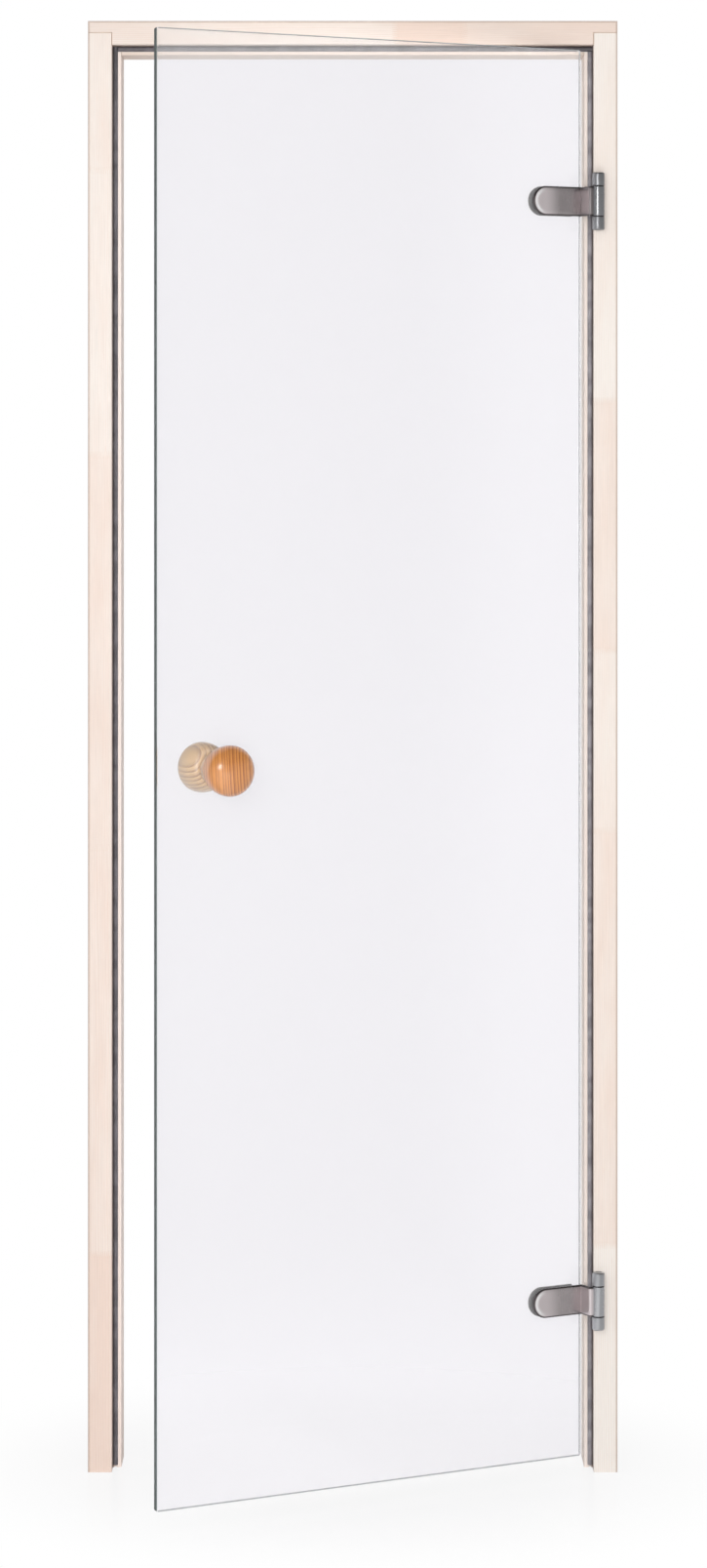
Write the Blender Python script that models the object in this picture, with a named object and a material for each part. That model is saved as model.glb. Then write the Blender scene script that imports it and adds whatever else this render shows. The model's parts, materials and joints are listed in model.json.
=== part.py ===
"""Glass sauna door in a rebated timber frame, hung on two cranked clamp hinges.

The frame stands upright in a wall opening and faces -Y, the side that the leaf opens to.
The origin is on the outer side of the hinge jamb, at floor level and at the middle of the
frame's depth, so the doorway lies towards -X. The leaf is modelled closed, in the space of
an empty on the hinge axis, and the empty is turned to stand the door ajar.
"""

import math

import bmesh
import bpy

# Frame
FRAME_WIDTH = 0.690
FRAME_HEIGHT = 1.890
FRAME_DEPTH = 0.092
MEMBER_FACE = 0.031
STOP_STEP = 0.011
REBATE_DEPTH = 0.028
HEAD_CAP = 0.015
ARRIS = 0.0015

# Gaps
TOUCH = 0.0003
SIDE_GAP = 0.0055
HEAD_GAP = 0.0065
FLOOR_GAP = 0.0205
SEAL_CLEARANCE = 0.0003

# Bulb seal
SEAL_WIDTH = 0.0063
SEAL_HEIGHT = 0.0052
SEAL_WALL = 0.001
SEAL_SHOULDER = 0.3
SEAL_STEM_WIDTH = 0.0024
SEAL_STEM_DEPTH = 0.005
SEAL_FOOT_GAP = 0.004

# Glass
GLASS_THICKNESS = 0.008
GLASS_CORNER = 0.003
GLASS_ARRIS = 0.0008
GLASS_HOLE_RADIUS = 0.006

# Hinges
OPEN_ANGLE = math.radians(29)
BARREL_RADIUS = 0.008
BARREL_HEIGHT = 0.075
BARREL_END_RADIUS = 0.0022
BARREL_STANDOFF = 0.0025
BARREL_SETBACK = 0.0055
KNUCKLE_HEIGHT = 0.038
WASHER_THICKNESS = 0.0008
WASHER_RADIUS = 0.0074
PIN_RADIUS = 0.004
PIN_ARRIS = 0.001
NOTCH_CLEARANCE = 0.0016
HINGE_TO_GLASS_TOP = 0.198
HINGE_TO_GLASS_BOTTOM = 0.2045

JAMB_PLATE_THICKNESS = 0.0025
JAMB_PLATE_HEIGHT = 0.069
JAMB_PLATE_REACH = 0.022
JAMB_PLATE_CORNER = 0.003
JAMB_SCREW_COUNT = 3
JAMB_SCREW_PITCH = 0.025
JAMB_SCREW_RADIUS = 0.002
JAMB_SCREW_HEAD_RADIUS = 0.0036
JAMB_SCREW_HEAD_DEPTH = 0.0018
JAMB_SCREW_LENGTH = 0.024

CLAMP_THICKNESS = 0.004
CLAMP_TIP = 0.0862
CLAMP_RIM = 0.001
CRANK_OFFSET = 0.0105
CRANK_BEND = 0.003
CRANK_INNER_BEND = 0.001
BACK_PLATE_START = 0.0215
GASKET_THICKNESS = 0.001
GASKET_INSET = 0.0005
CLAMP_SCREW_RADIUS = 0.003
CLAMP_SCREW_HEAD_RADIUS = 0.0055
CLAMP_SCREW_HEAD_DEPTH = 0.0026
CLAMP_SCREW_BITE = 0.0025
CLAMP_SCREW_INSET = 0.018

# Knobs
KNOB_FROM_FREE_EDGE = 0.0835
KNOB_DROP = 0.0025
KNOB_RADIUS = 0.03175
KNOB_FOOT_RADIUS = 0.0192
KNOB_NECK_RADIUS = 0.018
KNOB_FOOT_HEIGHT = 0.003
KNOB_NECK_HEIGHT = 0.006
KNOB_WIDEST = 0.035
KNOB_HEIGHT = 0.0565
KNOB_WASHER_THICKNESS = 0.001
KNOB_WASHER_RADIUS = 0.0195
KNOB_BOLT_RADIUS = 0.004
KNOB_BOLT_BITE = 0.024

ROUND_STEPS = 32
KNOB_STEPS = 48
SMALL_ROUND_STEPS = 16
SEAL_STEPS = 12
KNOB_PROFILE_STEPS = 8
CORNER_STEPS = 3

# Places that follow from the sizes above
FRONT = -FRAME_DEPTH / 2
BACK = FRAME_DEPTH / 2
STOP_FRONT = FRONT + REBATE_DEPTH
HINGE_WALL = -MEMBER_FACE
HINGE_STOP = HINGE_WALL - STOP_STEP
LATCH_SIDE = -FRAME_WIDTH
LATCH_WALL = LATCH_SIDE + MEMBER_FACE
HEAD_WALL = FRAME_HEIGHT - MEMBER_FACE
HEAD_STOP = HEAD_WALL - STOP_STEP
JAMB_TOP = FRAME_HEIGHT - HEAD_CAP - TOUCH
SEAL_CROWN = STOP_FRONT - SEAL_HEIGHT

AXIS_X = HINGE_WALL + BARREL_SETBACK
AXIS_Y = FRONT - BARREL_STANDOFF - BARREL_RADIUS

# The leaf's own space has the hinge axis at x = y = 0, the glass towards -x and the
# back of the door towards +y.
GLASS_BACK = SEAL_CROWN - SEAL_CLEARANCE - AXIS_Y
GLASS_FRONT = GLASS_BACK - GLASS_THICKNESS
GLASS_HINGE_EDGE = HINGE_WALL - SIDE_GAP - AXIS_X
GLASS_FREE_EDGE = LATCH_WALL + SIDE_GAP - AXIS_X
GLASS_BOTTOM = FLOOR_GAP
GLASS_TOP = HEAD_WALL - HEAD_GAP
HINGE_HEIGHTS = {
    "upper": GLASS_TOP - HINGE_TO_GLASS_TOP,
    "lower": GLASS_BOTTOM + HINGE_TO_GLASS_BOTTOM,
}
BORE_RADIUS = PIN_RADIUS + TOUCH
KNUCKLE_START = KNUCKLE_HEIGHT / 2 + WASHER_THICKNESS + 2 * TOUCH
GASKET_SPACE = GASKET_THICKNESS + 2 * TOUCH
CLAMP_BACK = GLASS_FRONT - GASKET_SPACE
CLAMP_FRONT = CLAMP_BACK - CLAMP_THICKNESS
BACK_PLATE_FRONT = GLASS_BACK + GASKET_SPACE
BACK_PLATE_BACK = BACK_PLATE_FRONT + CLAMP_THICKNESS
KNOB_X = GLASS_FREE_EDGE + KNOB_FROM_FREE_EDGE
KNOB_Z = (GLASS_TOP + GLASS_BOTTOM) / 2 - KNOB_DROP
CLAMP_SCREW_XS = (
    -CLAMP_TIP + CLAMP_SCREW_INSET,
    -BACK_PLATE_START - CLAMP_SCREW_INSET,
)


def make_material(name, colour, roughness, metallic=0.0, transmission=0.0):
    """A Principled material of one colour."""
    material = bpy.data.materials.new(name)
    material.use_nodes = True
    shader = material.node_tree.nodes["Principled BSDF"]
    shader.inputs["Base Color"].default_value = (*colour, 1.0)
    shader.inputs["Roughness"].default_value = roughness
    shader.inputs["Metallic"].default_value = metallic
    shader.inputs["Transmission Weight"].default_value = transmission
    return material


def round_corners(points, radii, steps=CORNER_STEPS):
    """Replace each corner of a polygon by an arc of its own radius; 0 keeps it sharp."""
    outline = []
    count = len(points)
    for index, (x, y) in enumerate(points):
        radius = radii[index]
        if radius == 0:
            outline.append((x, y))
            continue
        before = points[index - 1]
        after = points[(index + 1) % count]
        to_before = _unit(before[0] - x, before[1] - y)
        to_after = _unit(after[0] - x, after[1] - y)
        cosine = to_before[0] * to_after[0] + to_before[1] * to_after[1]
        half = math.acos(max(-1.0, min(1.0, cosine))) / 2
        setback = radius / math.tan(half)
        bisector = _unit(to_before[0] + to_after[0], to_before[1] + to_after[1])
        reach = radius / math.sin(half)
        centre = (x + bisector[0] * reach, y + bisector[1] * reach)
        start = (x + to_before[0] * setback, y + to_before[1] * setback)
        end = (x + to_after[0] * setback, y + to_after[1] * setback)
        first = math.atan2(start[1] - centre[1], start[0] - centre[0])
        last = math.atan2(end[1] - centre[1], end[0] - centre[0])
        turn = math.remainder(last - first, 2 * math.pi)
        for step in range(steps + 1):
            angle = first + turn * step / steps
            outline.append((centre[0] + radius * math.cos(angle),
                            centre[1] + radius * math.sin(angle)))
    return outline


def _unit(x, y):
    length = math.hypot(x, y)
    return x / length, y / length


def rectangle(low_a, low_b, high_a, high_b):
    return [(low_a, low_b), (high_a, low_b), (high_a, high_b), (low_a, high_b)]


def place_point(a, b, along, plane):
    """A point of an outline in the named plane, moved along the third axis."""
    if plane == "XY":
        return a, b, along
    if plane == "XZ":
        return a, along, b
    return along, a, b


def loft(sections, plane):
    """A solid through outlines of equal length, given as pairs of outline and place."""
    bm = bmesh.new()
    rings = [[bm.verts.new(place_point(a, b, along, plane)) for a, b in outline]
             for outline, along in sections]
    for lower, upper in zip(rings, rings[1:]):
        for index in range(len(lower)):
            following = (index + 1) % len(lower)
            bm.faces.new((lower[index], lower[following], upper[following], upper[index]))
    bm.faces.new(rings[0])
    bm.faces.new(rings[-1])
    bmesh.ops.recalc_face_normals(bm, faces=bm.faces)
    return mesh_from(bm)


def prism(outline, low, high, plane):
    """An outline in the named plane, extruded along the third axis."""
    return loft([(outline, low), (outline, high)], plane)


def turned(profile, steps, plane="XY", closed=False):
    """A turned solid from pairs of radius and height, about the axis across the plane.

    An open profile starts and ends on the axis; a closed one makes a ring.
    """
    bm = bmesh.new()
    rings = []
    for radius, height in profile:
        if radius == 0:
            rings.append([bm.verts.new(place_point(0, 0, height, plane))] * steps)
            continue
        angles = [2 * math.pi * step / steps for step in range(steps)]
        rings.append([bm.verts.new(place_point(radius * math.cos(angle),
                                               radius * math.sin(angle), height, plane))
                      for angle in angles])
    pairs = list(zip(rings, rings[1:]))
    if closed:
        pairs.append((rings[-1], rings[0]))
    for lower, upper in pairs:
        for index in range(steps):
            following = (index + 1) % steps
            corners = [lower[index], lower[following], upper[following], upper[index]]
            bm.faces.new(list(dict.fromkeys(corners)))
    bmesh.ops.recalc_face_normals(bm, faces=bm.faces)
    return mesh_from(bm)


def mesh_from(bm):
    mesh = bpy.data.meshes.new("shape")
    bm.to_mesh(mesh)
    bm.free()
    return mesh


def moved(mesh, x=0.0, y=0.0, z=0.0):
    """A copy of a mesh, moved by the given distances."""
    copy = mesh.copy()
    for vertex in copy.vertices:
        vertex.co.x += x
        vertex.co.y += y
        vertex.co.z += z
    return copy


def combine(operation, body, *tools):
    """A body united with, cut by or intersected with tools, one after the other."""
    target = bpy.data.objects.new("target", body)
    bpy.context.scene.collection.objects.link(target)
    helpers = []
    for tool in tools:
        helper = bpy.data.objects.new("helper", tool)
        helper.hide_render = True
        helper.display_type = "WIRE"
        bpy.context.scene.collection.objects.link(helper)
        helpers.append(helper)
        modifier = target.modifiers.new("combine", "BOOLEAN")
        modifier.operation = operation
        modifier.solver = "EXACT"
        modifier.object = helper
    graph = bpy.context.evaluated_depsgraph_get()
    result = bpy.data.meshes.new_from_object(target.evaluated_get(graph))
    for helper in helpers:
        bpy.data.objects.remove(helper, do_unlink=True)
    bpy.data.objects.remove(target, do_unlink=True)
    return result


def reversed_in_y(mesh, end=0.0):
    """A copy of a mesh turned end for end along y, so that y = 0 comes to the given end."""
    copy = mesh.copy()
    for vertex in copy.vertices:
        vertex.co.y = end - vertex.co.y
    copy.flip_normals()
    return copy


def merged(meshes):
    """Solids that don't touch, as one mesh."""
    bm = bmesh.new()
    for mesh in meshes:
        bm.from_mesh(mesh)
    return mesh_from(bm)


def add_piece(name, mesh, material, parent=None, location=(0.0, 0.0, 0.0)):
    """One named object for one sub-part, smooth where it is round."""
    mesh.name = name
    mesh.materials.clear()
    mesh.materials.append(material)
    mesh.shade_smooth()
    mesh.set_sharp_from_angle(angle=math.radians(30))
    piece = bpy.data.objects.new(name, mesh)
    bpy.context.scene.collection.objects.link(piece)
    piece.parent = parent
    piece.location = location
    return piece


def countersunk_screw(radius, head_radius, head_depth, length, plane):
    """A screw with its head's face at 0 and its tip at the given length."""
    tip = radius
    profile = [(0, 0), (head_radius, 0), (radius, head_depth), (radius, length - tip),
               (0, length)]
    return turned(profile, SMALL_ROUND_STEPS, plane)


def screw_hole(radius, head_radius, head_depth, length, plane):
    """The cutter for a countersunk screw: the screw's shape with a touching gap round it."""
    grown = head_radius + TOUCH
    profile = [(0, -TOUCH), (grown, -TOUCH), (grown, TOUCH), (radius + TOUCH, head_depth),
               (radius + TOUCH, length + TOUCH), (0, length + TOUCH)]
    return turned(profile, SMALL_ROUND_STEPS, plane)


def jamb_outline(mirror, gap=0.0):
    """The jamb's plan: face, rebate and stop, grown by a gap where it is a cutter."""
    outer, wall, stop = 0.0, HINGE_WALL, HINGE_STOP
    points = [(outer + gap, FRONT - gap), (outer + gap, BACK + gap), (stop - gap, BACK + gap),
              (stop - gap, STOP_FRONT - gap), (wall - gap, STOP_FRONT - gap),
              (wall - gap, FRONT - gap)]
    if mirror:
        points = [(LATCH_SIDE - x, y) for x, y in points]
    return points


def seal_groove(centre_x):
    """The cutter for the groove that the seal's stem sits in, along a jamb."""
    half = SEAL_STEM_WIDTH / 2 + TOUCH
    outline = rectangle(centre_x - half, STOP_FRONT - TOUCH, centre_x + half,
                        STOP_FRONT + SEAL_STEM_DEPTH + TOUCH)
    return prism(outline, -TOUCH, FRAME_HEIGHT, "XY")


def head_seal_groove():
    """The same groove under the head, which runs on into the stops of the jambs."""
    half = SEAL_STEM_WIDTH / 2 + TOUCH
    middle = HEAD_WALL - TOUCH - SEAL_WIDTH / 2
    outline = rectangle(STOP_FRONT - TOUCH, middle - half,
                        STOP_FRONT + SEAL_STEM_DEPTH + TOUCH, middle + half)
    return prism(outline, LATCH_WALL, HINGE_WALL, "YZ")


def jamb_screw_places(height):
    """The heights of one hinge's screws in the jamb."""
    middle = (JAMB_SCREW_COUNT - 1) / 2
    return [height + (index - middle) * JAMB_SCREW_PITCH for index in range(JAMB_SCREW_COUNT)]


def build_jamb(mirror):
    """A jamb of one length of timber, square at the foot and under the head's cap."""
    radii = [ARRIS, ARRIS, ARRIS, ARRIS, 0, ARRIS]
    jamb = prism(round_corners(jamb_outline(mirror), radii), 0.0, JAMB_TOP, "XY")
    groove_x = HINGE_WALL - TOUCH - SEAL_WIDTH / 2
    if mirror:
        groove_x = LATCH_SIDE - groove_x
    return combine("DIFFERENCE", jamb, seal_groove(groove_x), head_seal_groove())


def build_hinge_jamb():
    """The hinge jamb has a sinking for each hinge plate and a pilot hole for each screw."""
    jamb = build_jamb(mirror=False)
    half = JAMB_PLATE_HEIGHT / 2 + TOUCH
    floor = HINGE_WALL + JAMB_PLATE_THICKNESS + TOUCH
    cutters = []
    for height in HINGE_HEIGHTS.values():
        points = rectangle(FRONT - ARRIS, height - half,
                           FRONT + JAMB_PLATE_REACH + TOUCH, height + half)
        radii = [0, JAMB_PLATE_CORNER, JAMB_PLATE_CORNER, 0]
        sinking = prism(round_corners(points, radii), HINGE_WALL - ARRIS, floor, "YZ")
        pilots = []
        for place in jamb_screw_places(height):
            start = JAMB_PLATE_THICKNESS
            pilot = turned([(0, start), (JAMB_SCREW_RADIUS + TOUCH, start),
                            (JAMB_SCREW_RADIUS + TOUCH, JAMB_SCREW_LENGTH + TOUCH),
                            (0, JAMB_SCREW_LENGTH + TOUCH)], SMALL_ROUND_STEPS, "YZ")
            pilots.append(moved(pilot, HINGE_WALL, FRONT + JAMB_PLATE_REACH / 2, place))
        cutters += [sinking, merged(pilots)]
    return combine("DIFFERENCE", jamb, *cutters)


def build_head():
    """The head lies over the jambs as a cap, and its rebated part drops between them."""
    points = [(FRONT, HEAD_WALL), (STOP_FRONT, HEAD_WALL), (STOP_FRONT, HEAD_STOP),
              (BACK, HEAD_STOP), (BACK, FRAME_HEIGHT), (FRONT, FRAME_HEIGHT)]
    section = round_corners(points, [ARRIS, 0, ARRIS, ARRIS, ARRIS, ARRIS])
    blank = prism(section, LATCH_SIDE, 0.0, "YZ")
    plan = rectangle(LATCH_SIDE, FRONT, 0.0, BACK)
    ends = prism(round_corners(plan, [ARRIS] * 4), HEAD_STOP - ARRIS, FRAME_HEIGHT + ARRIS, "XY")
    blank = combine("INTERSECT", blank, ends)
    shoulders = [prism(jamb_outline(mirror, TOUCH), HEAD_STOP - ARRIS, JAMB_TOP + TOUCH, "XY")
                 for mirror in (False, True)]
    return combine("DIFFERENCE", blank, *shoulders, head_seal_groove())


def seal_outline(side, front, towards):
    """The seal's section: a round bulb on a flat base, with a stem into the groove.

    side is the edge that lies by the rebate wall, front the stop's front face, and
    towards the sign that leads from the wall across the seal.
    """
    base = front - TOUCH
    crown = front - SEAL_HEIGHT
    half = SEAL_WIDTH / 2
    middle = side + towards * half
    shoulder = base - (base - crown) * SEAL_SHOULDER
    points = [(side, base), (side, shoulder)]
    for step in range(1, SEAL_STEPS):
        angle = math.pi * step / SEAL_STEPS
        points.append((middle - towards * half * math.cos(angle),
                       shoulder - (shoulder - crown) * math.sin(angle)))
    far = side + towards * SEAL_WIDTH
    stem = SEAL_STEM_WIDTH / 2
    points += [(far, shoulder), (far, base), (middle + towards * stem, base),
               (middle + towards * stem, front + SEAL_STEM_DEPTH),
               (middle - towards * stem, front + SEAL_STEM_DEPTH),
               (middle - towards * stem, base)]
    return points


def seal_hollow(side, front, towards):
    """The round hollow that lets the bulb give."""
    middle = side + towards * SEAL_WIDTH / 2
    tall = (SEAL_HEIGHT - TOUCH) / 2 - SEAL_WALL
    wide = SEAL_WIDTH / 2 - SEAL_WALL
    centre = front - TOUCH - SEAL_WALL - tall
    angles = [2 * math.pi * step / SEAL_STEPS for step in range(SEAL_STEPS)]
    return [(middle + wide * math.cos(angle), centre + tall * math.sin(angle))
            for angle in angles]


def build_seal(side, towards, low, high, plane="XY"):
    """A length of seal up a jamb, or along the head when the plane is YZ."""
    outer = seal_outline(side, STOP_FRONT, towards)
    inner = seal_hollow(side, STOP_FRONT, towards)
    if plane == "YZ":
        outer = [(b, a) for a, b in outer]
        inner = [(b, a) for a, b in inner]
    body = prism(outer, low, high, plane)
    return combine("DIFFERENCE", body, prism(inner, low - SEAL_WALL, high + SEAL_WALL, plane))


def build_knuckle(low, high, rounded_end):
    """One knuckle of a barrel; rounded_end is 1 for the top end, -1 for the bottom, else 0."""
    profile = [(BORE_RADIUS, low), (BARREL_RADIUS, low), (BARREL_RADIUS, high),
               (BORE_RADIUS, high)]
    radii = [0, BARREL_END_RADIUS if rounded_end < 0 else 0,
             BARREL_END_RADIUS if rounded_end > 0 else 0, 0]
    return turned(round_corners(profile, radii), ROUND_STEPS, closed=True)


def build_jamb_plate():
    """The frame's half of a hinge: a plate let into the rebate wall, with two knuckles."""
    near = BARREL_RADIUS / 2
    clear_of_knuckle = BARREL_RADIUS + NOTCH_CLEARANCE
    far = FRONT + JAMB_PLATE_REACH - AXIS_Y
    top = JAMB_PLATE_HEIGHT / 2
    notch = KNUCKLE_START + TOUCH
    points = [(near, -top), (far, -top), (far, top), (near, top), (near, notch),
              (clear_of_knuckle, notch), (clear_of_knuckle, -notch), (near, -notch)]
    radii = [0, JAMB_PLATE_CORNER, JAMB_PLATE_CORNER, 0, 0, 0, 0, 0]
    face = -BARREL_SETBACK
    plate = prism(round_corners(points, radii), face, face + JAMB_PLATE_THICKNESS, "YZ")
    half = BARREL_HEIGHT / 2
    upper = build_knuckle(KNUCKLE_START, half, 1)
    lower = build_knuckle(-half, -KNUCKLE_START, -1)
    plate = combine("UNION", plate, upper, lower)
    hole = screw_hole(JAMB_SCREW_RADIUS, JAMB_SCREW_HEAD_RADIUS, JAMB_SCREW_HEAD_DEPTH,
                      JAMB_SCREW_LENGTH, "YZ")
    across = FRONT + JAMB_PLATE_REACH / 2 - AXIS_Y
    holes = [moved(hole, face, across, place) for place in jamb_screw_places(0.0)]
    return combine("DIFFERENCE", plate, merged(holes))


def tongue_outline(start, inset=0.0):
    """A clamp plate's face in x and z: square at the start, round at the tip."""
    half = KNUCKLE_HEIGHT / 2 - inset
    centre = -CLAMP_TIP + KNUCKLE_HEIGHT / 2
    outline = [(-start, -half), (-start, half)]
    steps = ROUND_STEPS // 2
    for step in range(steps + 1):
        angle = math.pi / 2 + math.pi * step / steps
        outline.append((centre + half * math.cos(angle), half * math.sin(angle)))
    return outline


def rimmed_tongue(start, rim_face, flat_face):
    """A clamp plate whose outward rim is rounded over by the rim's radius."""
    towards = 1 if flat_face > rim_face else -1
    sections = []
    for step in range(CORNER_STEPS + 1):
        angle = math.pi / 2 * step / CORNER_STEPS
        inset = CLAMP_RIM * (1 - math.sin(angle))
        depth = CLAMP_RIM * (1 - math.cos(angle))
        sections.append((tongue_outline(start, inset), rim_face + towards * depth))
    sections.append((tongue_outline(start), flat_face))
    return loft(sections, "XZ")


def build_crank():
    """The middle knuckle, with the web and neck that reach back to the clamp plate."""
    half = CLAMP_THICKNESS / 2
    start = math.asin(half / BARREL_RADIUS)
    outer = CRANK_OFFSET + CLAMP_THICKNESS
    tail = outer + CLAMP_THICKNESS
    arm = [(-outer, -half), (-outer, CLAMP_FRONT), (-tail, CLAMP_FRONT), (-tail, CLAMP_BACK),
           (-CRANK_OFFSET, CLAMP_BACK), (-CRANK_OFFSET, half)]
    radii = [CRANK_BEND, CRANK_INNER_BEND, 0, 0, CRANK_BEND, CRANK_INNER_BEND]
    barrel = []
    for step in range(ROUND_STEPS + 1):
        angle = start + (2 * math.pi - 2 * start) * step / ROUND_STEPS
        barrel.append((-BARREL_RADIUS * math.cos(angle), BARREL_RADIUS * math.sin(angle)))
    outline = round_corners(barrel + arm, [0] * len(barrel) + radii)
    top = KNUCKLE_HEIGHT / 2
    crank = prism(outline, -top, top, "XY")
    bore = turned([(0, -BARREL_HEIGHT), (BORE_RADIUS, -BARREL_HEIGHT),
                   (BORE_RADIUS, BARREL_HEIGHT), (0, BARREL_HEIGHT)], ROUND_STEPS)
    return combine("DIFFERENCE", crank, bore)


def clamp_holes(radius, low, high):
    """Cutters for the clamp screws' way through a piece, from low to high in y."""
    hole = turned([(0, low), (radius, low), (radius, high), (0, high)],
                  SMALL_ROUND_STEPS, "XZ")
    return [moved(hole, x=x) for x in CLAMP_SCREW_XS]


def build_clamp_plate():
    """The leaf's half of a hinge: the front clamp plate, its crank and middle knuckle."""
    start = CRANK_OFFSET + CLAMP_THICKNESS + CRANK_INNER_BEND
    plate = rimmed_tongue(start, CLAMP_FRONT, CLAMP_BACK)
    plate = combine("UNION", build_crank(), plate)
    holes = clamp_holes(CLAMP_SCREW_RADIUS + TOUCH, CLAMP_BACK - CLAMP_SCREW_BITE - TOUCH,
                        CLAMP_BACK + TOUCH)
    return combine("DIFFERENCE", plate, merged(holes))


def build_back_plate():
    """The plate behind the glass, drawn to the front plate by countersunk screws."""
    plate = rimmed_tongue(BACK_PLATE_START, BACK_PLATE_BACK, BACK_PLATE_FRONT)
    return combine("DIFFERENCE", plate, merged(clamp_screws(screw_hole)))


def clamp_screws(shape):
    """The two clamp screws of a hinge, or their holes, from the back plate forwards."""
    length = BACK_PLATE_BACK - (CLAMP_BACK - CLAMP_SCREW_BITE)
    screw = shape(CLAMP_SCREW_RADIUS, CLAMP_SCREW_HEAD_RADIUS, CLAMP_SCREW_HEAD_DEPTH,
                  length, "XZ")
    screw = reversed_in_y(screw, BACK_PLATE_BACK)
    return [moved(screw, x=x) for x in CLAMP_SCREW_XS]


def build_gasket(start, low, high):
    """The soft pad between a clamp plate and the glass."""
    pad = prism(tongue_outline(start + GASKET_INSET, GASKET_INSET), low, high, "XZ")
    holes = clamp_holes(CLAMP_SCREW_RADIUS + TOUCH, low - TOUCH, high + TOUCH)
    return combine("DIFFERENCE", pad, merged(holes))


def build_glass():
    """The pane, with ground arrises and drilled for the clamp screws and the knobs."""
    sections = []
    for inset, y in ((GLASS_ARRIS, GLASS_FRONT), (0.0, GLASS_FRONT + GLASS_ARRIS),
                     (0.0, GLASS_BACK - GLASS_ARRIS), (GLASS_ARRIS, GLASS_BACK)):
        corners = rectangle(GLASS_FREE_EDGE + inset, GLASS_BOTTOM + inset,
                            GLASS_HINGE_EDGE - inset, GLASS_TOP - inset)
        sections.append((round_corners(corners, [GLASS_CORNER - inset] * 4), y))
    pane = loft(sections, "XZ")
    holes = [moved(hole, z=height) for height in HINGE_HEIGHTS.values()
             for hole in clamp_holes(GLASS_HOLE_RADIUS, GLASS_FRONT - TOUCH, GLASS_BACK + TOUCH)]
    knob_hole = turned([(0, GLASS_FRONT - TOUCH), (GLASS_HOLE_RADIUS, GLASS_FRONT - TOUCH),
                        (GLASS_HOLE_RADIUS, GLASS_BACK + TOUCH), (0, GLASS_BACK + TOUCH)],
                       SMALL_ROUND_STEPS, "XZ")
    holes.append(moved(knob_hole, x=KNOB_X, z=KNOB_Z))
    return combine("DIFFERENCE", pane, merged(holes))


def knob_profile():
    """Radius and height of a turned knob, from its bored foot to the crown."""
    bore = KNOB_BOLT_RADIUS + TOUCH
    bore_end = KNOB_BOLT_BITE + TOUCH
    profile = [(0, bore_end), (bore, bore_end), (bore, 0), (KNOB_FOOT_RADIUS, 0),
               (KNOB_FOOT_RADIUS, KNOB_FOOT_HEIGHT)]
    swell = KNOB_RADIUS - KNOB_NECK_RADIUS
    rise = KNOB_WIDEST - KNOB_NECK_HEIGHT
    for step in range(KNOB_PROFILE_STEPS):
        angle = math.pi / 2 * (1 - step / KNOB_PROFILE_STEPS)
        profile.append((KNOB_NECK_RADIUS + swell * math.cos(angle),
                        KNOB_WIDEST - rise * math.sin(angle)))
    crown = KNOB_HEIGHT - KNOB_WIDEST
    for step in range(KNOB_PROFILE_STEPS):
        angle = math.pi / 2 * step / KNOB_PROFILE_STEPS
        profile.append((KNOB_RADIUS * math.cos(angle), KNOB_WIDEST + crown * math.sin(angle)))
    profile.append((0, KNOB_HEIGHT))
    return profile


def add_knobs(pivot, wood, rubber, steel):
    """A turned knob on each side of the glass, on one bolt through it."""
    seat = KNOB_WASHER_THICKNESS + 2 * TOUCH
    behind = turned(knob_profile(), KNOB_STEPS, "XZ")
    front = reversed_in_y(behind)
    washer = turned([(KNOB_BOLT_RADIUS + TOUCH, TOUCH), (KNOB_WASHER_RADIUS, TOUCH),
                     (KNOB_WASHER_RADIUS, TOUCH + KNOB_WASHER_THICKNESS),
                     (KNOB_BOLT_RADIUS + TOUCH, TOUCH + KNOB_WASHER_THICKNESS)],
                    ROUND_STEPS, "XZ", closed=True)
    end = seat + KNOB_BOLT_BITE
    low = GLASS_FRONT - end
    high = GLASS_BACK + end
    bolt = turned([(0, low), (KNOB_BOLT_RADIUS, low), (KNOB_BOLT_RADIUS, high), (0, high)],
                  SMALL_ROUND_STEPS, "XZ")
    centre = (KNOB_X, 0.0, KNOB_Z)
    add_piece("knob_front", moved(front, y=GLASS_FRONT - seat), wood, pivot, centre)
    add_piece("knob_back", moved(behind, y=GLASS_BACK + seat), wood, pivot, centre)
    add_piece("knob_washer_front", moved(washer, y=GLASS_FRONT - seat), rubber, pivot, centre)
    add_piece("knob_washer_back", moved(washer, y=GLASS_BACK), rubber, pivot, centre)
    add_piece("knob_bolt", bolt, steel, pivot, centre)


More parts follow.
